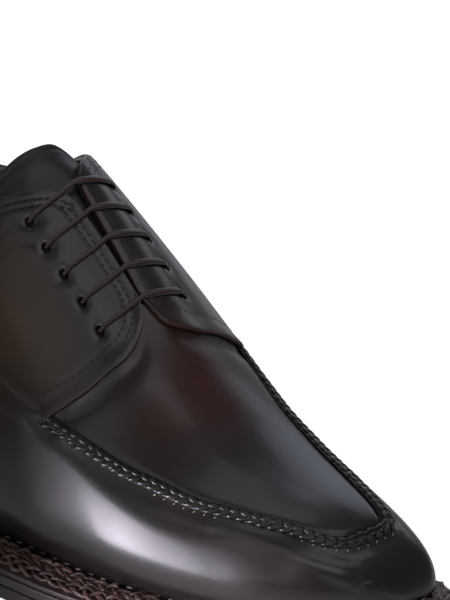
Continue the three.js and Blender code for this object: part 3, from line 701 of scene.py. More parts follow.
def creaseRelief(points, creases):
    relief = np.zeros(points.shape[:2])
    fade, least = 9, 0.35  # mm to the full height from a crease's end, and the share of it at the end
    for nodes, outside, inside, height in creases:
        line = placed(lineOnLast(np.array(nodes, float)), 0.0)[0]
        near = lineDistance(points, line)
        above = points[..., 2] > np.interp(points[..., 0], line[:, 0], line[:, 2])
        ends = np.minimum(np.linalg.norm(points - line[0], axis=-1), np.linalg.norm(points - line[-1], axis=-1))
        flatTop = np.exp(-(near / inside) ** 4)
        relief += height * np.where(above, flatTop, hump(near, outside)) * smooth(ends / fade + least)
    return relief


def planEdge(x, side):
    foot = np.full(x.shape, 0.0 if side == "lateral" else 1.0)
    step = np.minimum(0.5, np.minimum(x, length - x))
    flat = unit((lastPoint(x + step, foot) - lastPoint(x - step, foot))[..., :2])
    out = sides[side] * np.stack([-flat[..., 1], flat[..., 0]], -1)
    out = np.where((x <= 0)[..., None], [-1.0, 0.0], out)
    out = np.where((x >= length)[..., None], [1.0, 0.0], out)
    return lastPoint(x, foot)[..., :2], out


def planOffset(x, side, distance):
    at, out = planEdge(x, side)
    return at + out * np.asarray(distance)[..., None]


# Both halves of a sheet on the upper, joined over the crest where bridge says so
def joinedHalves(name, half, bridge, materials):
    lateral, medial = half("lateral"), half("medial")
    fold = lambda a, b: np.concatenate([a, b[:, ::-1]], 1)
    outer, inner = fold(lateral[0], medial[0]), fold(lateral[1], medial[1])
    keep = np.concatenate([lateral[2], bridge, medial[2][:, ::-1]], 1)
    fields = {key: [fold(a, b) for a, b in zip(lateral[3][key], medial[3][key])] for key in lateral[3]}
    return thickSheet(name, outer, inner, keep, materials, fields)


# Relief of the vamp in mm: depth, where it lies and how wide it is
vampRelief = {
    "groove": (-0.45, 2.5, 0.7), "outside": (-0.22, -3.6, 1.6), "inside": (0.08, 5.0, 2.2), "grooveStart": (205, 35),
    "trough": (0.75, 2.2, 2.8), "underQuarter": 0.40, "innerShadeStart": 0.40,
}


def buildVamp():
    look = vampRelief
    kinds, values = columnList(upperMesh, None)
    low = 1 - (1 - np.arange(upperMesh["lowRows"]) / upperMesh["lowRows"]) ** 1.25
    high = np.arange(upperMesh["highRows"] + 1) / upperMesh["highRows"]
    rows = np.concatenate([[-1.0], low, 1 + high])

    def band(d, key):
        depth, middle, width = look[key]
        return depth * hump(d - middle, width)

    def half(side):
        x, v, _ = gridSide(kinds, values, rows, side, upperMesh["setBack"])
        x, v, keep, _ = openEyelets(x, v, side, upperMesh["holeRadius"] + 0.2)
        points = lastPoint(x, v)
        d = apronDistance(points, (x > 0.62 * length) & (rows[None] > 0.2))
        start, ease = look["grooveStart"]
        relief = mix(0.35, 1.0, smooth((x - start) / ease)) * band(d, "groove")
        relief = relief + band(d, "outside") + band(d, "inside") + swellRelief(x, v, vampSwells)
        relief = relief + (creaseRelief(points, vampCreases) if side == "lateral" else 0)
        ahead = x - frontCurves[side](np.abs(v - 0.5)) * length
        below = (v - seamCurves[side](x / length)) * sides[side] * acrossPerShare
        shallow = smooth((np.abs(v - 0.5) - 0.025) / 0.06) * smooth(1 - below / 4) * (ahead > -6)
        relief = relief - shallow * band(ahead, "trough")
        under = smooth((5.6 - below) / 1.4) * smooth((below + 1) / 2) * smooth((0.645 * length - x) / 16)
        relief = relief + look["underQuarter"] * under
        outer = points + lastNormal(x, v) * relief[..., None]
        inner = raised(x, v, np.full(x.shape, -shoe["wall"]))
        ground = soleUnder(x[:, 0])
        for j, height in ((0, ground + insoleLow), (1, ground + shoe["footLine"])):
            for sheet, offset in ((outer, 0.0), (inner, -shoe["wall"])):
                sheet[:, j] = np.concatenate([planOffset(x[:, 0], side, 0 * ground + offset), height[:, None]], 1)
        tone, dull = toneAt(x, v), dullAt(x, v)
        # Painted shade: the lining turns near black from 0.40 of the length forward, inside the shoe under the tongue
        # and facings; the same ramp gives the inner side of the rims their raw colour
        innerRawAndShade = smooth((x - look["innerShadeStart"] * length) / 16)
        return outer, inner, keep, {"tone": (tone, tone), "raw": (0 * innerRawAndShade, innerRawAndShade), "dark": (innerRawAndShade, innerRawAndShade),
                                    "dull": (dull, dull)}
    bridge = np.zeros((len(kinds) - 1, 1), bool)
    bridge[int(np.argmax(kinds == 2)):] = True
    return joinedHalves("vamp", half, bridge, [upperLeather, liningLeather, upperLeather])


vamp = buildVamp()
print("vamp made", len(vamp.data.polygons))

quarterMesh = {
    "heelColumns": 12, "sideColumns": 70, "quarterColumns": 58, "rows": 54, "thickness": 1.17,
    "edgeRound": 0.42, "edgePress": 0.10, "stitchSink": 0.12, "dimple": 0.30, "frontSwell": 0.45,
}
closeSteps = np.array([0.0, 0.10, 0.25, 0.45, 0.75, 1.2, 1.8])
quarterSwells = [
    # x, share, reach along, reach across in mm, height
    (172, 0.290, 10, 6.0, 0.22),
    (160, 0.250, 12, 5.0, -0.25),
    (140, 0.220, 16, 6.0, 0.20),
]
quarterCreases = [
    ([(154, 0.345), (158, 0.365), (161, 0.384)], 1.7, 1.7, 0.24),
    ([(158, 0.335), (163, 0.358), (168, 0.380)], 1.8, 1.8, 0.34),
    ([(172, 0.345), (176, 0.366)], 1.6, 1.6, 0.18),
]


# Rows of stitches on the quarters, as lines in x and arc length
def quarterLines(side):
    xs = np.linspace(0.536, frontCurves[side](0.003), 30)
    spread = np.linspace(0.006, abs(seamCurves[side](cornerShare) - 0.5), 40)
    edge = (np.concatenate([xs, frontCurves[side](spread)]),
            np.concatenate([edgeCurves[side](xs), 0.5 + sides[side] * spread]))
    top, seam = np.linspace(0.012, 0.535, 90), np.linspace(0.10, 0.630, 70)
    lines = edge, (top, edgeCurves[side](top)), (seam, seamCurves[side](seam))
    return [resample(np.stack([at * length, arcOf(at * length, share)], -1), 0.5) for at, share in lines]


stitchSizes = {"edgeRows": (3.0, 5.0), "topRows": (2.2, 3.9), "seamRow": 1.9}
stitchRows, seamRowsBelow = {}, {}
for side, turn in sides.items():
    edge, top, seam = quarterLines(side)
    stitchRows[side] = [shifted(edge, turn * distance, 15) for distance in stitchSizes["edgeRows"]]
    stitchRows[side] += [shifted(top, turn * distance) for distance in stitchSizes["topRows"]]
    seamRowsBelow[side] = shifted(seam, -turn * stitchSizes["seamRow"])


def buildQuarters():
    size, count = quarterMesh, quarterMesh["rows"]
    close = closeSteps / 46.0
    kinds, values = columnList(size, list(closeSteps / 52.0))
    inner = mix(close[-1] + 0.016, 1 - close[-1] - 0.016, np.arange(count) / (count - 1))
    rows = 1 + np.concatenate([close, inner, 1 - close[::-1]])

    def half(side):
        near = side == "lateral"
        x, v, _ = gridSide(kinds, values, rows, side)
        points = lastPoint(x, v)
        toFront = endDistances(points, 0)[1]
        toSeam, toTop = endDistances(points, 1)
        rim = np.minimum(np.minimum(toFront, toTop), toSeam)
        x, v, keep, holeDrop = openEyelets(x, v, side, upperMesh["holeRadius"])
        points = lastPoint(x, v)
        lift = np.full(x.shape, shoe["quarterRise"])
        lift -= rimDrop(rim, size["edgeRound"]) + holeDrop
        lift -= size["edgePress"] * smooth(1 - rim / 3.0)
        lift += size["frontSwell"] * smooth(1 - (toFront - 0.6) / 5.0)
        holes = [np.hypot(x - ex, (v - ev) * acrossPerShare) for ex, ev in eyeletPlaces(side)]
        lift -= size["dimple"] * hump(np.minimum.reduce(holes), 3.4)
        for line in (*stitchRows[side], seamRowsBelow[side]):
            d = lineDistance(points, placed(line, 0.0)[0])
            lift -= size["stitchSink"] * (1.6 if near else 0.4) * hump(d, 0.7)
        if near:
            lift += swellRelief(x, v, quarterSwells) + creaseRelief(points, quarterCreases)
        bottom = np.minimum(shoe["quarterRise"] - size["thickness"] + rimDrop(rim, 0.3), lift - 0.25)
        normal = lastNormal(x, v)
        facingRim = np.minimum(toFront, toTop + 99 * (x < 0.53 * length))
        # Raw edge colour with painted shade: the outer quarter's edges get only 0.35 of it, so they read darker than
        # the inner quarter's, whose raw colour also spreads 0.9 to 2.5 mm onto the grain
        wide, strong = (0.35, 0.35) if near else (0.9 + 1.6 * smooth((0.56 * length - x) / 6), 1.0)
        tone, raw = toneAt(x, v), smooth(1 - facingRim / wide) * strong
        return (points + normal * lift[..., None], points + normal * bottom[..., None], keep,
                {"tone": (tone, tone), "raw": (raw, raw)})
    return joinedHalves("quarters", half, np.zeros((len(kinds) - 1, 1), bool), [upperLeather])


quarters = buildQuarters()
print("quarters made", len(quarters.data.polygons))

tongueMesh = {
    "run": 90, "across": 90, "depth": 2.6, "thickness": 1.8, "top": 0.473, "front": 0.700, "edgeRound": 0.85,
    "wave": 0.35, "press": 0.18, "loose": 16,
}


def buildTongue():
    size = tongueMesh
    t = (np.arange(size["run"] + 1) / size["run"])[:, None] ** 1.2
    r = np.sin(np.linspace(-1, 1, size["across"] + 1) * math.pi / 2)[None]
    top = size["top"] + 0.040 * np.abs(r) ** 8 - 0.025 * np.minimum(r, 0) ** 2
    x = mix(top, size["front"] - 0.02 * r * r, t)
    v = mix(tongueCurves["lateral"](x), tongueCurves["medial"](x), (r + 1) / 2)
    x = x * length
    points = lastPoint(x, v)
    toTop = endDistances(points, 0)[0]
    drop = rimDrop(np.minimum(toTop, np.minimum(*endDistances(points, 1))), size["edgeRound"])
    wave = size["wave"] * hump(toTop - 6, 4) * np.cos(r * 5.0) - size["press"] * hump(toTop - 2.6, 0.7)
    outer = raised(x, v, -size["depth"] - drop + wave * (toTop < size["loose"]))
    inner = raised(x, v, -size["depth"] - size["thickness"] + drop)
    tone, none = toneAt(x, v), np.zeros(x.shape)
    keep = np.ones((x.shape[0] - 1, x.shape[1] - 1), bool)
    return thickSheet("tongue_sheet", outer, inner, keep, [tongueLeather, liningLeather, tongueLeather],
                      {"tone": (tone, tone), "raw": (none, none), "dark": (none, none)}, 60)


tongue = buildTongue()
print("tongue made")


# A swept bar along points, with its own half width and half height at each point
def sweep(points, ups, wide, high, corners, twist=0.0):
    count = len(points)
    along = unit(np.gradient(points, axis=0))
    across = unit(np.cross(ups, along))
    up = np.cross(along, across)
    angle = np.arange(corners) / corners * 2 * math.pi
    c, s = np.cos(angle)[None], np.sin(angle)[None]
    wide, high, twist = [np.broadcast_to(value, (count,))[:, None] for value in (wide, high, twist)]
    a, b = wide * c, high * s
    a, b = a * np.cos(twist) - b * np.sin(twist), a * np.sin(twist) + b * np.cos(twist)
    rings = points[:, None] + across[:, None] * a[..., None] + up[:, None] * b[..., None]
    ids = np.arange(count * corners).reshape(count, corners)
    after = np.roll(ids, -1, axis=1)
    sides = np.stack([ids[:-1], after[:-1], after[1:], ids[1:]], -1).reshape(-1, 4)
    faces = sides.tolist() + [ids[0][::-1].tolist(), ids[-1].tolist()]
    return rings.reshape(-1, 3), faces, np.repeat(runAlong(points), corners), np.tile(angle, count)


def gathered(name, parts, materials):
    rings, quads, runs, turns = zip(*parts)
    starts = np.cumsum([0] + [len(ring) for ring in rings])
    faces = [[i + start for i in face] for start, part in zip(starts, quads) for face in part]
    fields = {"run": np.concatenate(runs), "turn": np.concatenate(turns)}
    return makeObject(name, np.concatenate(rings), faces, materials, 50, fields)


# Node trees for what repeats along a line
def newTree(name, lengths, *others):
    tree = bpy.data.node_groups.new(name, "GeometryNodeTree")
    sockets = [("Geometry", "Geometry")] + [(socket, "Float") for socket in lengths] + list(others)
    for socket, kind in sockets + [("Material", "Material")]:
        tree.interface.new_socket(socket, in_out="INPUT", socket_type="NodeSocket" + kind)
    tree.interface.new_socket("Geometry", in_out="OUTPUT", socket_type="NodeSocketGeometry")
    return tree


# Makes a node from its settings and inputs, with iN for input number N, and gives back one of its outputs
def adder(tree):
    def add(kind, settings=None, out=0, **values):
        node = tree.nodes.new(kind)
        for key, value in (settings or {}).items():
            setattr(node, key, value)
        for key, value in values.items():
            numbered = key[0] == "i" and key[1:].isdigit()
            target = node.inputs[int(key[1:]) if numbered else key.replace("_", " ")]
            if isinstance(value, bpy.types.NodeSocket):
                tree.links.new(value, target)
            else:
                target.default_value = value
        return node if out is None else node.outputs[out]

    def maths(operation, *values, kind="ShaderNodeMath"):
        return add(kind, {"operation": operation}, **{f"i{k}": value for k, value in enumerate(values)})
    return add, maths, add("NodeGroupInput", out=None).outputs


def fieldNode(add, name):
    return add("GeometryNodeInputNamedAttribute", {"data_type": "FLOAT_VECTOR"}, Name=name)


def wrapUp(add, shape, material):
    soft = add("GeometryNodeSetShadeSmooth", Geometry=add("GeometryNodeRealizeInstances", Geometry=shape))
    done = add("GeometryNodeSetMaterial", Geometry=soft, Material=material)
    add("NodeGroupOutput", out=None, Geometry=done)


def stitchTree():
    tree = newTree("stitches_along", ("Pitch", "Long", "Wide", "High", "Slant", "Sway"))
    add, maths, given = adder(tree)
    curve = add("GeometryNodeMeshToCurve", i0=given["Geometry"])
    spots = add("GeometryNodeCurveToPoints", {"mode": "LENGTH"}, None, Curve=curve, Length=given["Pitch"]).outputs
    first = add("FunctionNodeAlignRotationToVector", {"axis": "X"}, Vector=spots["Tangent"])
    second = add("FunctionNodeAlignRotationToVector", {"axis": "Z", "pivot_axis": "X"}, Rotation=first,
                 Vector=fieldNode(add, "up"))
    jitter = add("FunctionNodeRandomValue", None, 1, i2=0.86, i3=1.14, Seed=7)
    chance = add("FunctionNodeRandomValue", None, 1, i2=-1.0, i3=1.0, Seed=3)
    sway = maths("MULTIPLY_ADD", chance, given["Sway"], given["Slant"])
    slant = add("FunctionNodeAxisAngleToRotation", Axis=(0, 0, 1), Angle=sway)
    turned = add("FunctionNodeRotateRotation", {"rotation_space": "LOCAL"}, Rotation=second, Rotate_By=slant)
    size = add("ShaderNodeCombineXYZ", X=maths("MULTIPLY", given["Long"], jitter), Y=given["Wide"], Z=given["High"])
    lump = add("GeometryNodeMeshUVSphere", Segments=8, Rings=6, Radius=0.5)
    many = add("GeometryNodeInstanceOnPoints", Points=spots[0], Instance=lump, Rotation=turned, Scale=size)
    wrapUp(add, many, given["Material"])
    return tree


def braidTree():
    tree = newTree("braid_along", ("Pitch", "Swing", "Lift", "Radius", "Ruffle"), ("Samples", "Int"))
    add, maths, given = adder(tree)

    def scaled(vector, amount):
        return add("ShaderNodeVectorMath", {"operation": "SCALE"}, i0=vector, Scale=amount)
    curve = add("GeometryNodeMeshToCurve", i0=given["Geometry"])
    even = add("GeometryNodeResampleCurve", Curve=curve, Count=given["Samples"])
    run = add("GeometryNodeSplineParameter", out="Length")
    up, out = fieldNode(add, "up"), fieldNode(add, "out")
    turns = maths("MULTIPLY", maths("DIVIDE", run, given["Pitch"]), 2 * math.pi)
    profile = add("GeometryNodeCurvePrimitiveCircle", Resolution=7, Radius=given["Radius"])
    joined = add("GeometryNodeJoinGeometry", out=None)
    for strand in range(3):
        angle = maths("ADD", turns, strand * 2 * math.pi / 3)
        side = scaled(out, maths("MULTIPLY", maths("SINE", angle), given["Swing"]))
        rise = scaled(up, maths("MULTIPLY", maths("SINE", maths("MULTIPLY", angle, 2.0)), given["Lift"]))
        shift = maths("ADD", side, rise, kind="ShaderNodeVectorMath")
        moved = add("GeometryNodeSetPosition", Geometry=even, Offset=shift)
        tree.links.new(add("GeometryNodeCurveToMesh", Curve=moved, Profile_Curve=profile), joined.inputs[0])
    stir = add("ShaderNodeTexNoise", out="Color", Scale=210.0, Detail=1.0)
    centred = maths("SUBTRACT", stir, (0.5, 0.5, 0.5), kind="ShaderNodeVectorMath")
    ruffle = scaled(centred, given["Ruffle"])
    wrapUp(add, add("GeometryNodeSetPosition", Geometry=joined.outputs[0], Offset=ruffle), given["Material"])
    return tree


stitchesAlong = stitchTree()
braidAlong = braidTree()


# What a node tree makes along lines, each given as points, up and outward directions
def grown(name, lines, tree, values, closed=False):
    points, edges, ups, outs = [], [], [], []
    for line, up, out in lines:
        start = len(points)
        points += (np.asarray(line) * 0.001).tolist()
        ups.append(up)
        outs.append(out)
        edges += [(start + k, start + k + 1) for k in range(len(line) - 1)]
        if closed:
            edges.append((len(points) - 1, start))
    mesh = bpy.data.meshes.new(name + "_path")
    mesh.from_pydata(points, edges, [])
    for key, vectors in (("up", ups), ("out", outs)):
        mesh.attributes.new(key, "FLOAT_VECTOR", "POINT").data.foreach_set(
            "vector", np.concatenate(vectors).astype(np.float32).ravel())
    thing = bpy.data.objects.new(name, mesh)
    bpy.context.scene.collection.objects.link(thing)
    modifier = thing.modifiers.new("along", "NODES")
    modifier.node_group = tree
    for item in tree.interface.items_tree:
        if item.name in values and item.in_out == "INPUT":
            modifier[item.identifier] = values[item.name]
    seen = thing.evaluated_get(bpy.context.evaluated_depsgraph_get())
    made = bpy.data.meshes.new_from_object(seen)
    thing.modifiers.clear()
    thing.data = made
    return thing


def surfaceLine(flat, offset):
    points, normals = placed(flat, offset)
    return points, normals, normals


# Size of one stitch of the quarters in mm
stitchLook = {"pitch": 2.4, "long": 1.9, "wide": 0.52, "high": 0.36}


def stitchValues(look, material, slant=0.0, sway=0.0):
    lengths = {key.title(): value / 1000 for key, value in look.items()}
    return {**lengths, "Slant": slant, "Sway": sway, "Material": material}


quarterStitches = grown(
    "quarter_stitches",
    [surfaceLine(line, shoe["quarterRise"] - 0.08) for side in sides for line in stitchRows[side]],
    stitchesAlong, stitchValues(stitchLook, darkThread, 0.12))
print("quarter stitches made")

# Apron seam: a swept ridge under two rows of slanting lumps, a near-black cord of painted shade for the shadow in the
# groove inside the ridge, and a row of pale thread ends
apronLook = {
    "halfWidth": 1.55, "rise": 0.75, "shadeCordRow": 1.95, "shadeCordWidth": 0.36, "shadeCordHeight": 0.16, "lumpHeight": 0.55,
    "threadRow": -2.25, "threadHeight": 0.06,
    # name: row, slant, sway and the size of one lump
    "outer": (-0.75, 0.30, 0.10, {"pitch": 3.35, "long": 4.9, "wide": 1.75, "high": 1.55}),
    "inner": (0.85, -0.18, 0.22, {"pitch": 3.35, "long": 4.0, "wide": 1.45, "high": 1.15}),
    "thread": {"pitch": 3.35, "long": 0.85, "wide": 0.32, "high": 0.26},
}


def buildApronSeam():
    look = apronLook
    ridge = placed(apronLine, 0.0)
    # The near-black cord inside the ridge is painted shade, laid where the seam's groove is in shadow
    gap = placed(shifted(apronLine, look["shadeCordRow"]), 0.0)
    pieces = [
        gathered("apron_ridge", [sweep(*ridge, look["halfWidth"], look["rise"], 12)], [upperLeather]),
        gathered("apron_shade_cord", [sweep(*gap, look["shadeCordWidth"], look["shadeCordHeight"], 8)], [paintedShadeCord])]
    for key in ("outer", "inner"):
        row, slant, sway, size = look[key]
        line = surfaceLine(shifted(apronLine, row), look["lumpHeight"])
        values = stitchValues(size, upperLeather, slant, sway)
        pieces.append(grown(f"apron_seam_{key}", [line], stitchesAlong, values))
    ends = len(apronLine) // 5
    line = surfaceLine(shifted(apronLine, look["threadRow"])[ends:-ends], look["threadHeight"])
    return pieces + [grown("apron_thread", [line], stitchesAlong, stitchValues(look["thread"], paleThread, 0.9))]


apronPieces = buildApronSeam()
print("apron seam made")


# Sole: slabs between the two sides of the shoe, in fine levels
def spread(start, stop, count, power=1.0):
    return mix(start, stop, (np.arange(count) / count) ** power)


soleStations = np.concatenate([
    spread(0, 0.13, 26, 2), spread(0.13, 0.66, 60), spread(0.66, 0.82, 24),
    1 - 0.18 * (1 - np.arange(56) / 56) ** 2.4, [1.0]]) * length


def soleReach(x, side):
    return soleCurves[side](x / length) * ball


def slab(name, stations, levels, materials, bottomIndex=0):
    rows = []
    for reach, height in levels:
        for side in sides:
            plan = planOffset(stations, side, reach(stations, side))
            rows.append(np.concatenate([plan, height(plan[:, 0])[:, None]], 1))
    rows = np.array(rows).reshape(len(levels), 2, len(stations), 3)
    ids = np.arange(rows.size // 3).reshape(rows.shape[:3])
    n = len(stations) - 1
    quads, kinds = [], []

    def put(a, b, c, d, kind):
        quads.append(np.stack([a, b, c, d], -1))
        kinds.append(np.full(len(a), kind))
    put(ids[0, 0, :-1], ids[0, 1, :-1], ids[0, 1, 1:], ids[0, 0, 1:], bottomIndex)
    put(ids[-1, 0, :-1], ids[-1, 0, 1:], ids[-1, 1, 1:], ids[-1, 1, :-1], 0)
    for k in range(len(levels) - 1):
        put(ids[k, 0, :-1], ids[k, 0, 1:], ids[k + 1, 0, 1:], ids[k + 1, 0, :-1], 0)
        put(ids[k, 1, 1:], ids[k, 1, :-1], ids[k + 1, 1, :-1], ids[k + 1, 1, 1:], 0)
        put(ids[k, 0, n:], ids[k, 1, n:], ids[k + 1, 1, n:], ids[k + 1, 0, n:], 0)
    return makeObject(name, rows.reshape(-1, 3), np.concatenate(quads), materials, 35, None, np.concatenate(kinds))


def above(height):
    return lambda px: soleUnder(px + shoe["originShare"] * length) + height


def lessReach(inset):
    return lambda x, side: soleReach(x, side) - inset


# Levels of each slab from below: inset and height in mm
soleLevels = {
    "outsole": [(2.2, 0.0), (1.2, 0.08), (0.62, 0.35), (0.32, 0.85), (0.22, 1.6), (0.20, 2.6), (0.22, 3.9),
                (0.34, 4.5), (0.62, 4.85), (1.1, 5.0)],
    "insole": [(2.4, 0.0), (2.4, 2.4), (2.7, 2.85), (3.6, 3.0)],
    "topPiece": [(3.0, 0.0), (2.6, 0.25), (2.35, 0.9), (2.25, 5.4), (2.5, 6.0)],
    "midsole": [(1.1, 5.3), (0.5, 5.36), (0.16, 5.62), (0.0, 6.1), (0.0, 8.1), (0.10, 8.5), (0.34, 8.78), (0.8, 8.9)],
}
outsole = slab("outsole_edge", soleStations, [(lessReach(a), above(b)) for a, b in soleLevels["outsole"]],
               [soleEdge, soleBottom], 1)
midsole = slab("midsole_edge", soleStations, [(lessReach(a), above(b)) for a, b in soleLevels["midsole"]],
               [soleEdge])
insole = slab("insole_sheet", soleStations, [
    (lambda x, side, inset=a: 0 * x - inset, above(insoleLow + b)) for a, b in soleLevels["insole"]], [insoleLeather])

heelSizes = {"lifts": 4, "groove": 0.22, "taper": 1.6, "inset": 0.6}


def heelHeight(share):
    low = shoe["topPiece"] + shoe["gap"]
    return lambda px: mix(low, soleUnder(px + shoe["originShare"] * length) - shoe["gap"], share)


def heelReach(share, inset=0.0):
    taper = heelSizes["inset"] + heelSizes["taper"] * (1 - share) ** 1.6 + inset
    return lambda x, side: soleReach(x, side) - taper


heelStations = np.concatenate([soleStations[soleStations < shoe["heelBlock"] - 2], [shoe["heelBlock"]]])
heelLevels = [(0.0, 0.5), (0.02, 0.15)]
for lift in range(heelSizes["lifts"]):
    at = lift / heelSizes["lifts"]
    if lift:
        heelLevels += [(at - 0.022, 0.0), (at - 0.004, heelSizes["groove"]), (at + 0.014, 0.0)]
    heelLevels.append((at + 0.5 / heelSizes["lifts"], 0.0))
heelLevels += [(0.98, 0.12), (1.0, 0.5)]
heelStack = slab("heel_lifts", heelStations, [(heelReach(a, b), heelHeight(a)) for a, b in heelLevels], [soleEdge])
topPiece = slab("heel_top_piece", heelStations, [
    (lessReach(a), lambda px, high=b: 0 * px + high) for a, b in soleLevels["topPiece"]], [heelRubber])
print("sole made")


# Welt: a strip round the foot line with a ledge for the braid, out along the outer side and back on the inner
def walkPlan(distances):
    walk = [(soleStations, "lateral"), (soleStations[1:-1][::-1], "medial")]
    at, out = [np.concatenate(parts) for parts in zip(*[planEdge(xs, side) for xs, side in walk])]
    reach = np.concatenate([soleReach(xs, side) for xs, side in walk])
    return at[:, None] + out[:, None] * distances(reach)[..., None], out, reach


# The same walk as one line at one distance, with heights over the ground line
def walkLine(distance, height):
    plan, out, reach = walkPlan(lambda r: distance(r)[:, None])
    plan = plan[:, 0]
    return np.concatenate([plan, (above(0)(plan[:, 0]) + height(reach))[:, None]], 1), out, reach


def buildWelt():
    thick, rise = shoe["welt"], shoe["weltBand"]

    def distances(reach):
        full = reach - shoe["gap"]
        band = np.minimum(6, 0.6 * full)
        return shoe["gap"] + np.stack([
            0 * full, full - 0.3, full, full, full - 0.15, full - 0.5, band + 0.5, band + 0.1, band,
            0.75 * band, 0.45 * band, 0.2 * band, 0 * full], -1)
    ups = [0, 0, 0.3, thick - 0.45, thick - 0.12, thick, thick, thick + 0.12, thick + 0.6,
           thick + 0.5 * rise, thick + 0.62 * rise, thick + 0.6 * rise, shoe["footLine"] - insoleLow - 0.9]
    plan = walkPlan(distances)[0]
    height = above(0)(plan[..., 0]) + insoleLow + np.array(ups)[None]
    rings = np.concatenate([plan, height[..., None]], -1)
    n, m = rings.shape[:2]
    ids = np.arange(n * m).reshape(n, m)
    nextRing, nextSpot = np.roll(ids, -1, axis=0), np.roll(ids, -1, axis=1)
    both = np.roll(nextRing, -1, axis=1)
    faces = np.stack([ids, nextRing, both, nextSpot], -1).reshape(-1, 4)
    return makeObject("welt_strip", rings.reshape(-1, 3), faces, [weltLeather], 35)


weltStrip = buildWelt()
# Two plaited rows: share of the reach, rise over the strip's underside, plait pitch, swing, lift, strand radius
braidRows = [
    ("welt_braid", 0.27, 3.55, 13.5, 1.35, 0.50, 0.72),
    ("welt_braid_outer", 0.66, 2.45, 15.5, 1.60, 0.45, 0.70),
]
braidLook = {"perPitch": 20, "ruffle": 2.6, "fullReach": 11.0, "least": 0.40, "droop": -0.25}


def buildBraid(name, share, rise, pitch, swing, lift, radius):
    look, thick = braidLook, shoe["welt"]

    def sizeAt(reach):
        return np.clip(reach / look["fullReach"], look["least"], 1.0)
    line, out, reach = walkLine(lambda r: shoe["gap"] + share * (r - shoe["gap"]),
                                lambda r: insoleLow + thick + (rise - thick) * sizeAt(r))
    size = sizeAt(reach)[:, None]
    outward = np.concatenate([out, np.full((len(out), 1), look["droop"])], 1) * size
    upward = np.tile([[0.0, 0.0, 1.0]], (len(out), 1)) * size
    total = runAlong(np.concatenate([line, line[:1]]))[-1]
    periods = round(total / pitch)
    lengths = {"Pitch": total / periods, "Swing": swing, "Lift": lift, "Radius": radius, "Ruffle": look["ruffle"]}
    values = {**{key: value / 1000 for key, value in lengths.items()}, "Samples": periods * look["perPitch"],
              "Material": braidLeather}
    return grown(name, [(line, upward, outward)], braidAlong, values, closed=True)


weltBraids = [buildBraid(*row) for row in braidRows]
weltThread = {"pitch": 5.0, "long": 2.5, "wide": 0.55, "high": 0.42}
weltThreadRow = 0.75  # mm out of the foot line and over it


def buildWeltThread():
    line, out, _ = walkLine(lambda r: weltThreadRow + 0 * r, lambda r: shoe["footLine"] + weltThreadRow + 0 * r)
    up = np.concatenate([out, np.full((len(out), 1), 0.5)], 1)
    values = stitchValues(weltThread, waxedThread, 0.12)
    return grown("welt_thread", [(line, up, up)], stitchesAlong, values, closed=True)


weltStitches = buildWeltThread()
print("welt made")

# A stretch of lace pulled taut over the facings between two shares of the way across
def tautStretch(ends, start, stop, lifts, low, count):
    t = np.linspace(start, stop, count)
    (xa, va), (xb, vb) = ends
    x, v = mix(xa, xb, t), mix(va, vb, t)
    base, normal = lastPoint(x, v), lastNormal(x, v)
    part = np.linspace(0, 1, count)[:, None]
    chord = mix(base[0] + normal[0] * lifts[0], base[-1] + normal[-1] * lifts[1], part)
    height = np.sum((chord - base) * normal, axis=1)
    return chord + normal * np.maximum(low - height, 0)[:, None], t


# Five bars that rise from the holes and lie taut over the facings
def buildLaces():
    parts = []
    look = laceLook
    for ends in zip(eyeletPlaces("lateral"), eyeletPlaces("medial")):
        top = shoe["quarterRise"] + look["lift"]
        near, far = top + look["nearHigh"], top + look["farHigh"]
        first, tFirst = tautStretch(ends, 0.035, look["kink"], (near, far + look["step"]), near, 40)
        second, tSecond = tautStretch(ends, look["kink"], 0.965, (far + look["step"], far), far, 36)
        (xa, va), (xb, vb) = ends
        down = np.array([-2.6, -1.6, -0.6, 0.3, 0.9])
        start = raised(np.full(5, xa), np.full(5, va), down)
        finish = raised(np.full(5, xb), np.full(5, vb), down[::-1])
        knots = np.concatenate([start, first, second[1:], finish])
        t = np.concatenate([np.zeros(5), tFirst, tSecond[1:], np.ones(5)])
        run = runAlong(knots)
        at = np.linspace(0, run[-1], look["samples"])
        line = eased(pointsAt(at, run, knots), 7)
        share = np.interp(at, run, t)
        ups = lastNormal(mix(xa, xb, share), mix(va, vb, share))
        onFar = smooth((share - look["kink"] + 0.03) / 0.08)
        wide = mix(look["nearWide"], look["farWide"], onFar)
        tall = mix(look["nearHigh"], look["farHigh"], onFar)
        twist = 1.0 * (1 - smooth((share - 0.02) / 0.22)) - 0.4 * smooth((share - 0.88) / 0.12)
        parts.append(sweep(line, ups, wide, tall, look["corners"], twist))
    return gathered("laces", parts, [laceCotton])


laces = buildLaces()
print("laces made")

# Each piece with its finish and the nodes that it stands for
standsFor = [
    (vamp, "upper_leather", "upper"), (quarters, "upper_leather", "upper"), (tongue, "tongue_leather", "tongue"),
    (quarterStitches, "upper_leather"), (outsole, "sole_leather", "outsole"), (midsole, "sole_leather", "midsole"),
    (insole, "insole_leather", "insole"), (heelStack, "sole_leather", "heel_stack"),
    (topPiece, "heel_rubber", "top_piece"), (weltStrip, "welt_leather", "welt"),
    (weltBraids[0], "welt_leather", "welt"), (weltBraids[1], "welt_leather"), (weltStitches, "welt_leather"),
    (laces, "lace_cotton", *[f"lace_bar_{k}" for k in range(1, 6)]),
] + [(piece, "upper_leather") for piece in apronPieces]
for piece, finish, *nodes in standsFor:
    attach(piece, "root")
    if nodes:
        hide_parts(*nodes)

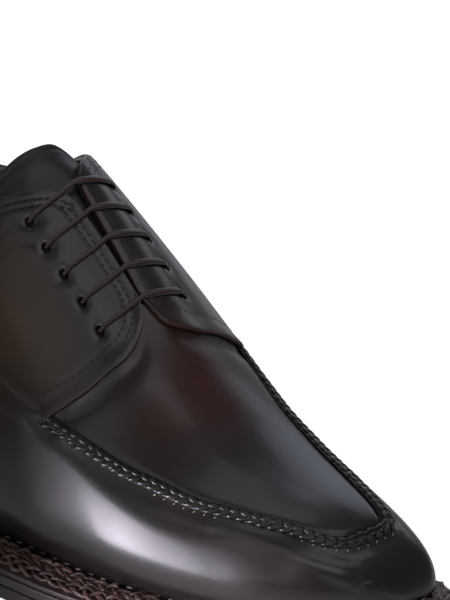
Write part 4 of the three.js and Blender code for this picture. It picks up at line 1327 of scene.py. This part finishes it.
# Floor, light and camera
studio = {
    "floorTone": 0.86, "floorGlow": 0.85, "floorDark": (0.085, 0.085, 0.09, 1), "floorPale": (1, 1, 1, 1),
    "world": 0.10, "target": (0.185, -0.005, 0.045),
    "cameraAz": 48.257, "cameraEl": 24.641, "cameraPlace": (0.94310, -0.66838, 0.55844), "lens": 228.77,
}
lamps = [
    # name, azimuth, elevation, distance, width, height, radiance, tint
    ("high_side", -72, 54, 1.5, 1.2, 0.8, 0.40, (1.0, 0.94, 0.92)),
    ("overhead", 22, 64, 1.5, 1.1, 0.75, 0.95, (0.98, 0.90, 0.96)),
    ("far_wall", 124, 24, 1.5, 0.8, 0.8, 0.72, (0.74, 0.82, 1.0)),
    ("far_low", 142, 8, 1.5, 0.6, 0.4, 1.3, (0.9, 0.9, 1.0)),
    ("rear", 172, 40, 1.5, 0.9, 0.7, 0.70, (0.75, 0.85, 1.0)),
    ("rear_high", 150, 62, 1.5, 0.8, 0.6, 0.60, (0.92, 0.88, 1.0)),
    ("front_side", -66, 17, 1.5, 0.9, 0.4, 0.60, (0.90, 0.80, 1.0)),
    ("far_side", 99, 19, 1.5, 0.50, 0.36, 0.85, (0.90, 0.90, 1.0)),
    ("front_high", -32, 36, 1.5, 1.3, 0.50, 1.30, (1.0, 0.97, 0.92)),
]
# A small window close to the outer side for the long highlight: light is width, height, radiance and tint
window = {"place": (0.177, -0.140, 0.048), "turn": -128, "spread": 1.4,
          "light": (0.087, 0.084, 5.0, (0.92, 0.87, 1.0))}


def direction(azimuth, elevation):
    a, e = math.radians(azimuth), math.radians(elevation)
    return Vector((math.cos(e) * math.cos(a), math.cos(e) * math.sin(a), math.sin(e)))


def addLamp(name, place, toward, width, height, radiance, tint):
    lamp = bpy.data.lights.new(name, "AREA")
    lamp.shape = "RECTANGLE"
    lamp.size, lamp.size_y = width, height
    lamp.energy = radiance * math.pi * width * height
    lamp.color = tint
    holder = bpy.data.objects.new(name, lamp)
    holder.location = place
    holder.rotation_euler = toward.to_track_quat("Z", "Y").to_euler()
    holder.visible_camera = False
    bpy.context.scene.collection.objects.link(holder)
    return lamp


for name, azimuth, elevation, away, *size in lamps:
    toward = direction(azimuth, elevation)
    addLamp(name, Vector(studio["target"]) + toward * away, toward, *size)
sideWindow = addLamp("side_window", window["place"], direction(window["turn"], 0), *window["light"])
sideWindow.spread = window["spread"]

floorGraph = Graph("pale_floor")
seen = floorGraph.node("ShaderNodeLightPath")
floorPaint = floorGraph.finish(
    Base_Color=(studio["floorTone"],) * 3 + (1,), Roughness=0.8,
    Emission_Color=floorGraph.blend(studio["floorDark"], studio["floorPale"], seen),
    Emission_Strength=studio["floorGlow"])
floorSize, floorDrop = 4000, -0.4  # mm
corners = [(a * floorSize, b * floorSize, floorDrop) for a, b in ((-1, -1), (1, -1), (1, 1), (-1, 1))]
floor = makeObject("floor", corners, [(0, 1, 2, 3)], [floorPaint])

world = bpy.data.worlds.new("studio")
world.use_nodes = True
world.node_tree.nodes["Background"].inputs[0].default_value = (studio["world"],) * 3 + (1,)
scene = bpy.context.scene
scene.world = world
scene.view_settings.view_transform = "Standard"

lens = bpy.data.cameras.new("camera")
lens.sensor_fit = "VERTICAL"
lens.sensor_height = 36.0
lens.lens = studio["lens"]
lens.clip_start, lens.clip_end = 0.05, 20.0
camera = bpy.data.objects.new("camera", lens)
back = direction(studio["cameraAz"] - 90, studio["cameraEl"])
right = Vector((math.cos(math.radians(studio["cameraAz"])), math.sin(math.radians(studio["cameraAz"])), 0))
up = back.cross(right)
camera.matrix_world = Matrix.Translation(studio["cameraPlace"]) @ Matrix((right, up, back)).transposed().to_4x4()
scene.collection.objects.link(camera)
scene.camera = camera
